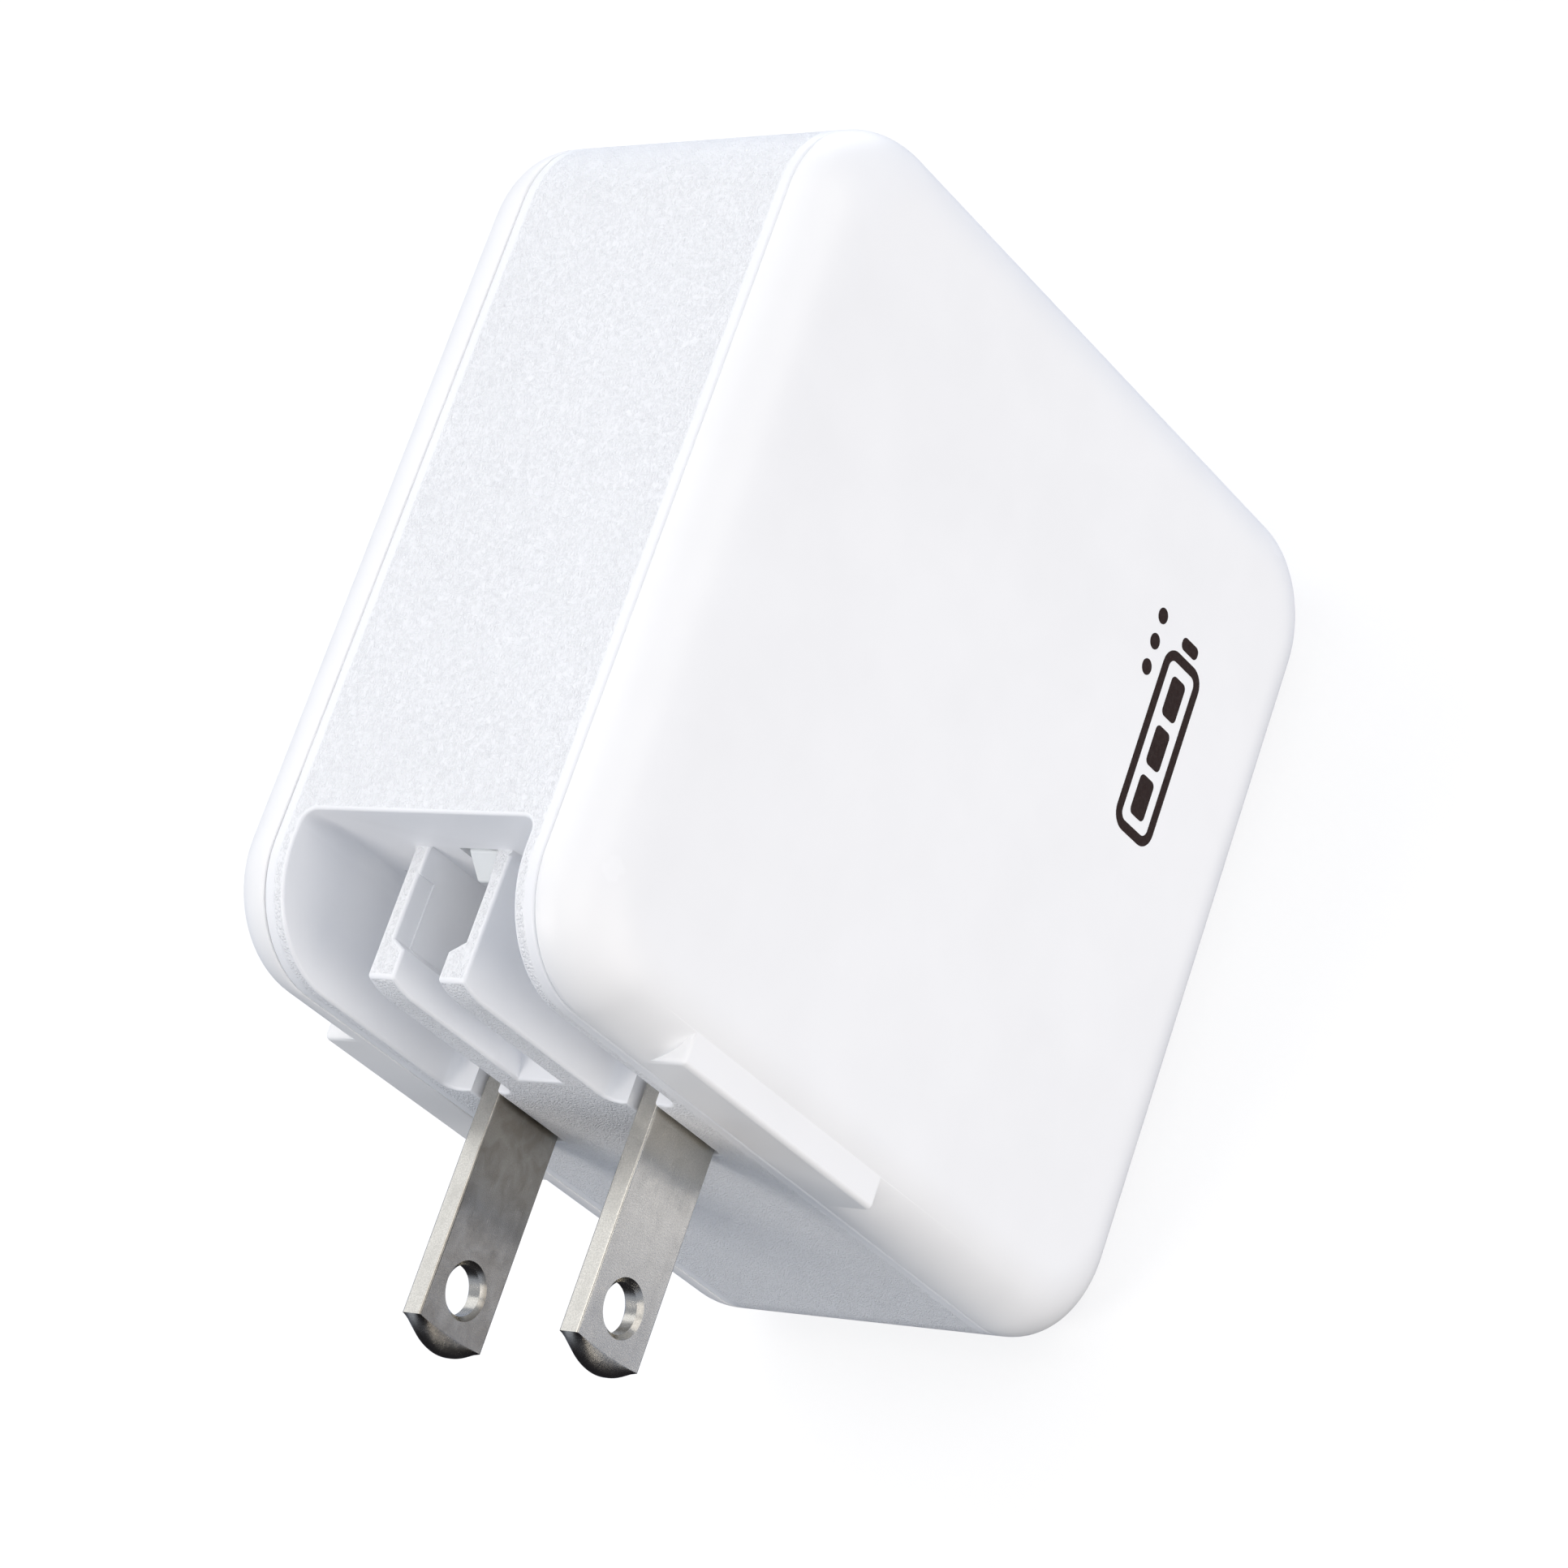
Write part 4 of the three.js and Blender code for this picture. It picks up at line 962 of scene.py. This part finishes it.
def ferrite(name, colour):
    recipe = Recipe(name, colour)
    recipe.mix(recipe.span(recipe.noise(0.12, 3), 0.5, 0.7), scaled(colour, 2.2))
    recipe.roughness(recipe.noise(0.6, 3), 0.6, 0.85)
    recipe.bump(recipe.noise(0.15, 4), 0.02)
    return recipe.done()


def wound(name, colour, pitch, metallic=0.0):
    """Turns of wire or tape, as ridges round Z."""
    recipe = Recipe(name, colour, {"Metallic": metallic})
    angle = recipe.math("MULTIPLY", recipe.coordinate("Z"), 2 * math.pi / pitch)
    turns = recipe.math("SINE", angle)
    # Painted shade: the troughs between turns are darkened.
    recipe.mix(recipe.span(turns, -1, -0.2, 0.55, 0), scaled(colour, 0.3))
    recipe.mix(recipe.span(recipe.noise(0.9, 3), 0.5, 0.75), scaled(colour, 1.25))
    recipe.roughness(recipe.noise(0.4, 3), 0.25, 0.45)
    recipe.bump(turns, 0.08 * pitch)
    return recipe.done()


def glossy_case(name, colour):
    recipe = Recipe(name, colour, {"IOR": 1.5, "Coat Weight": 0.3, "Coat Roughness": 0.1})
    recipe.mix(recipe.span(recipe.noise(2.0, 3), 0.4, 0.7), scaled(colour, 1.3))
    # Painted highlight: convex edges are lightened.
    recipe.mix(recipe.edges(), scaled(colour, 1.5))
    recipe.roughness(recipe.noise(0.7, 3), 0.2, 0.38)
    recipe.bump(recipe.noise(1.2, 3), 0.03)
    recipe.bump(recipe.noise(0.2, 2), 0.004)
    return recipe.done()


def soft_pad(name, colour):
    recipe = Recipe(name, colour)
    recipe.mix(recipe.span(recipe.noise(0.5, 4), 0.4, 0.65), scaled(colour, 1.3))
    recipe.roughness(recipe.noise(0.7, 3), 0.7, 0.9)
    recipe.bump(recipe.cells(0.5, "SMOOTH_F1"), 0.04)
    return recipe.done()


def ink(name, colour):
    """Pad-printed ink with tiny pinholes."""
    dark = scaled(colour, 0.45)
    recipe = Recipe(name, dark, {"Specular IOR Level": 0.12})
    recipe.mix(recipe.span(recipe.noise(0.09, 3), 0.62, 0.72), scaled(dark, 3.0))
    recipe.roughness(recipe.noise(0.3, 3), 0.4, 0.6)
    recipe.bump(recipe.noise(0.12, 3), 0.003)
    return recipe.done()


# The recipe of each of the record's material slots.
FINISHES = {
    "shell_grained": grained_shell,
    "shell_satin": satin_shell,
    "blade_nickel": nickel,
    "steel": lambda name, colour: rolled_metal(name, colour, 1).done(),
    "bronze": lambda name, colour: rolled_metal(name, colour, 2, (0.2, 0.36)).done(),
    "inner_plastic": lambda name, colour: smooth_plastic(name, scaled(colour, 0.9)),
    "black_plastic": smooth_plastic,
    "board": board,
    "ferrite": ferrite,
    "tape": lambda name, colour: wound(name, colour, 2.4),
    "copper_wire": lambda name, colour: wound(name, colour, 0.5, 0.9),
    "capacitor_sleeve": glossy_case,
    "capacitor_yellow": glossy_case,
    "disc_blue": glossy_case,
    "aluminium": lambda name, colour: rolled_metal(name, colour, 2, (0.3, 0.5)).done(),
    "thermal_pad": soft_pad,
    "insulating_sheet": glossy_case,
    "lead_red": smooth_plastic,
    "print_ink": ink,
}


def give_materials(fine_pieces):
    """Makes one material per slot of the record and gives it to every node and piece."""
    record = frame["record"]
    colours = {entry["slot"]: entry["base_color"] for entry in record["materials"]}
    made = {slot: FINISHES[slot](slot, colour) for slot, colour in colours.items()}
    node_slots = {entry["node"]: entry["material_slot"] for entry in record["subparts"]}
    for node, item in frame["nodes"].items():
        item.data.materials.clear()
        item.data.materials.append(made[node_slots[node]])
    for item in fine_pieces:
        item.data.materials.clear()
        item.data.materials.append(made[item["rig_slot"]])


# How near a grained surface a point has to lie to count as being on it.
GRAIN_TOLERANCE = 0.02


def mark_skin(item):
    """Records which faces of the frame band are grained: its outer faces and the ribs' tops."""
    mesh = item.data
    ribs = (RIB_INNER - 0.1, RIB_OUTER + 0.05)
    places = [point.co / MM for point in mesh.vertices]

    def is_grained(place):
        at_top = abs(place.z - below(RIB_TOP)) < GRAIN_TOLERANCE
        on_rib = ribs[0] < abs(place.x) < ribs[1] and at_top
        return on_rib or outline_gap(place) < GRAIN_TOLERANCE

    skin = mesh.attributes.new("skin", "FLOAT", "CORNER").data
    for face in mesh.polygons:
        grained = all(is_grained(places[index]) for index in face.vertices)
        for corner in face.loop_indices:
            skin[corner].value = 1.0 if grained else 0.0


# ---- Studio -------------------------------------------------------------------------------------

CAMERA_TARGET = Vector((0.97, 4.37, 31.37)) * MM
CAMERA_DISTANCE = 329.25 * MM
CAMERA_AZIMUTH = 60.22
CAMERA_ELEVATION = 44.06
CAMERA_ROLL = -48.97
CAMERA_LENS = 118.14
LIGHTS_AIM = Vector((0, 0.008, 0.03))
FLOOR_HALF = 3.0


def direction(azimuth, elevation):
    """The direction towards a place given by its azimuth and elevation in degrees."""
    a, e = math.radians(azimuth), math.radians(elevation)
    return Vector((math.sin(a) * math.cos(e), -math.cos(a) * math.cos(e), math.sin(e)))


def camera():
    back = direction(CAMERA_AZIMUTH, CAMERA_ELEVATION)
    level = Vector((0, 0, 1)).cross(back).normalized()
    roll = math.radians(CAMERA_ROLL)
    right = level * math.cos(roll) + back.cross(level) * math.sin(roll)
    turn = Matrix((right, back.cross(right), back)).transposed().to_4x4()
    item = bpy.data.objects.new("camera", bpy.data.cameras.new("camera"))
    item.matrix_world = Matrix.Translation(CAMERA_TARGET + back * CAMERA_DISTANCE) @ turn
    item.data.lens = CAMERA_LENS
    item.data.clip_start = 0.01
    bpy.context.scene.collection.objects.link(item)
    bpy.context.scene.camera = item


def softbox(name, azimuth, elevation, distance, size, power, colour=(1, 1, 1)):
    """A round light aimed at the object: distance and size in metres, power in watts."""
    light = bpy.data.lights.new(name, "AREA")
    light.shape = "DISK"
    light.size = size
    light.energy = power
    light.color = colour
    item = bpy.data.objects.new(name, light)
    towards = direction(azimuth, elevation)
    item.location = LIGHTS_AIM + towards * distance
    item.rotation_euler = towards.to_track_quat("Z", "Y").to_euler()
    bpy.context.scene.collection.objects.link(item)
    return item


def floor():
    corners = [(x * FLOOR_HALF, y * FLOOR_HALF, 0) for x, y in ((-1, -1), (1, -1), (1, 1), (-1, 1))]
    item = mesh_object("floor", corners, [(0, 1, 2, 3)])
    recipe = Recipe("floor", (0.30, 0.30, 0.30), {
        "Specular IOR Level": 0.0, "Emission Color": (1, 1, 1, 1), "Emission Strength": 0.74})
    recipe.mix(recipe.noise(40.0, 2), (0.29, 0.29, 0.295))
    recipe.roughness(recipe.noise(8.0, 3), 0.8, 0.95)
    item.data.materials.append(recipe.done())
    item.visible_diffuse = False
    item.visible_glossy = False
    item.visible_shadow = False


SKY_ABOVE = (0.52, 0.55, 0.60, 1)
SKY_BELOW = (0.37, 0.44, 0.61, 1)
SKY_STRENGTH = 0.9
DARK_CARD = (0.02, 0.02, 0.025, 1)
DARK_CARD_AZIMUTH = 350
DARK_CARD_ELEVATION = -48

# How many degrees from its middle the card starts to fade, and how many degrees out it ends.
DARK_CARD_RADII = (46, 70)


def sky():
    """Pale light from above that fades to a bluish grey below, with a dark card low in front of
    the plug side, which the blade tips reflect."""
    world = bpy.data.worlds.new("studio")
    world.use_nodes = True
    bpy.context.scene.world = world
    nodes, links = world.node_tree.nodes, world.node_tree.links
    towards = nodes.new("ShaderNodeTexCoord").outputs["Generated"]
    up = nodes.new("ShaderNodeSeparateXYZ")
    links.new(towards, up.inputs[0])
    spread = nodes.new("ShaderNodeMapRange")
    spread.inputs["From Min"].default_value = -1.0
    links.new(up.outputs["Z"], spread.inputs["Value"])
    ramp = nodes.new("ShaderNodeValToRGB")
    ramp.color_ramp.elements[0].color = SKY_BELOW
    ramp.color_ramp.elements[1].color = SKY_ABOVE
    links.new(spread.outputs[0], ramp.inputs[0])
    nearness = nodes.new("ShaderNodeVectorMath")
    nearness.operation = "DOT_PRODUCT"
    links.new(towards, nearness.inputs[0])
    nearness.inputs[1].default_value = direction(DARK_CARD_AZIMUTH, DARK_CARD_ELEVATION)
    card = nodes.new("ShaderNodeMapRange")
    card.interpolation_type = "SMOOTHSTEP"
    card.inputs["From Min"].default_value = math.cos(math.radians(DARK_CARD_RADII[1]))
    card.inputs["From Max"].default_value = math.cos(math.radians(DARK_CARD_RADII[0]))
    links.new(nearness.outputs["Value"], card.inputs["Value"])
    blend = nodes.new("ShaderNodeMixRGB")
    links.new(card.outputs[0], blend.inputs["Fac"])
    links.new(ramp.outputs[0], blend.inputs["Color1"])
    blend.inputs["Color2"].default_value = DARK_CARD
    links.new(blend.outputs[0], nodes["Background"].inputs["Color"])
    nodes["Background"].inputs["Strength"].default_value = SKY_STRENGTH


def studio():
    view = bpy.context.scene.view_settings
    view.view_transform = "Standard"
    view.look = "None"
    floor()
    sky()
    warm, warmer = (1.0, 0.94, 0.87), (1.0, 0.93, 0.83)
    softbox("key", 118, 32, 0.55, 0.42, 0.45, warm)
    softbox("overhead", 335, 44, 0.6, 0.22, 0.95, warm)
    softbox("zenith", 250, 78, 0.6, 0.4, 0.65, warm)
    softbox("top_sheen", 240, 45, 0.6, 0.5, 0.55)
    softbox("front", 62, 40, 0.7, 0.5, 0.6, warm)
    softbox("side", 76, -14, 0.6, 0.5, 1.7, warmer)
    softbox("low_glint", 126, -46, 0.5, 0.25, 0.165, warmer)
    softbox("rear", 195, 4, 0.7, 0.6, 1.9)
    fill = softbox("plug_side", 310, -12, 0.6, 0.7, 0.8, (0.70, 0.84, 1.0))
    fill.visible_glossy = False


# ---- Assembly -----------------------------------------------------------------------------------

frame_piece = middle_frame()
mark_skin(frame_piece)
fine = [
    frame_piece,
    cover(1, "front_cover"),
    cover(-1, "back_cover"),
    *[blade(node) for node in ("blade_left", "blade_right")],
    blade_rotor(),
    latch_catch(),
    mark(),
]
for port in PORTS:
    fine += [socket_shell(port), socket_tongue(port), socket_contacts(port)]

give_materials(fine)
camera()
studio()
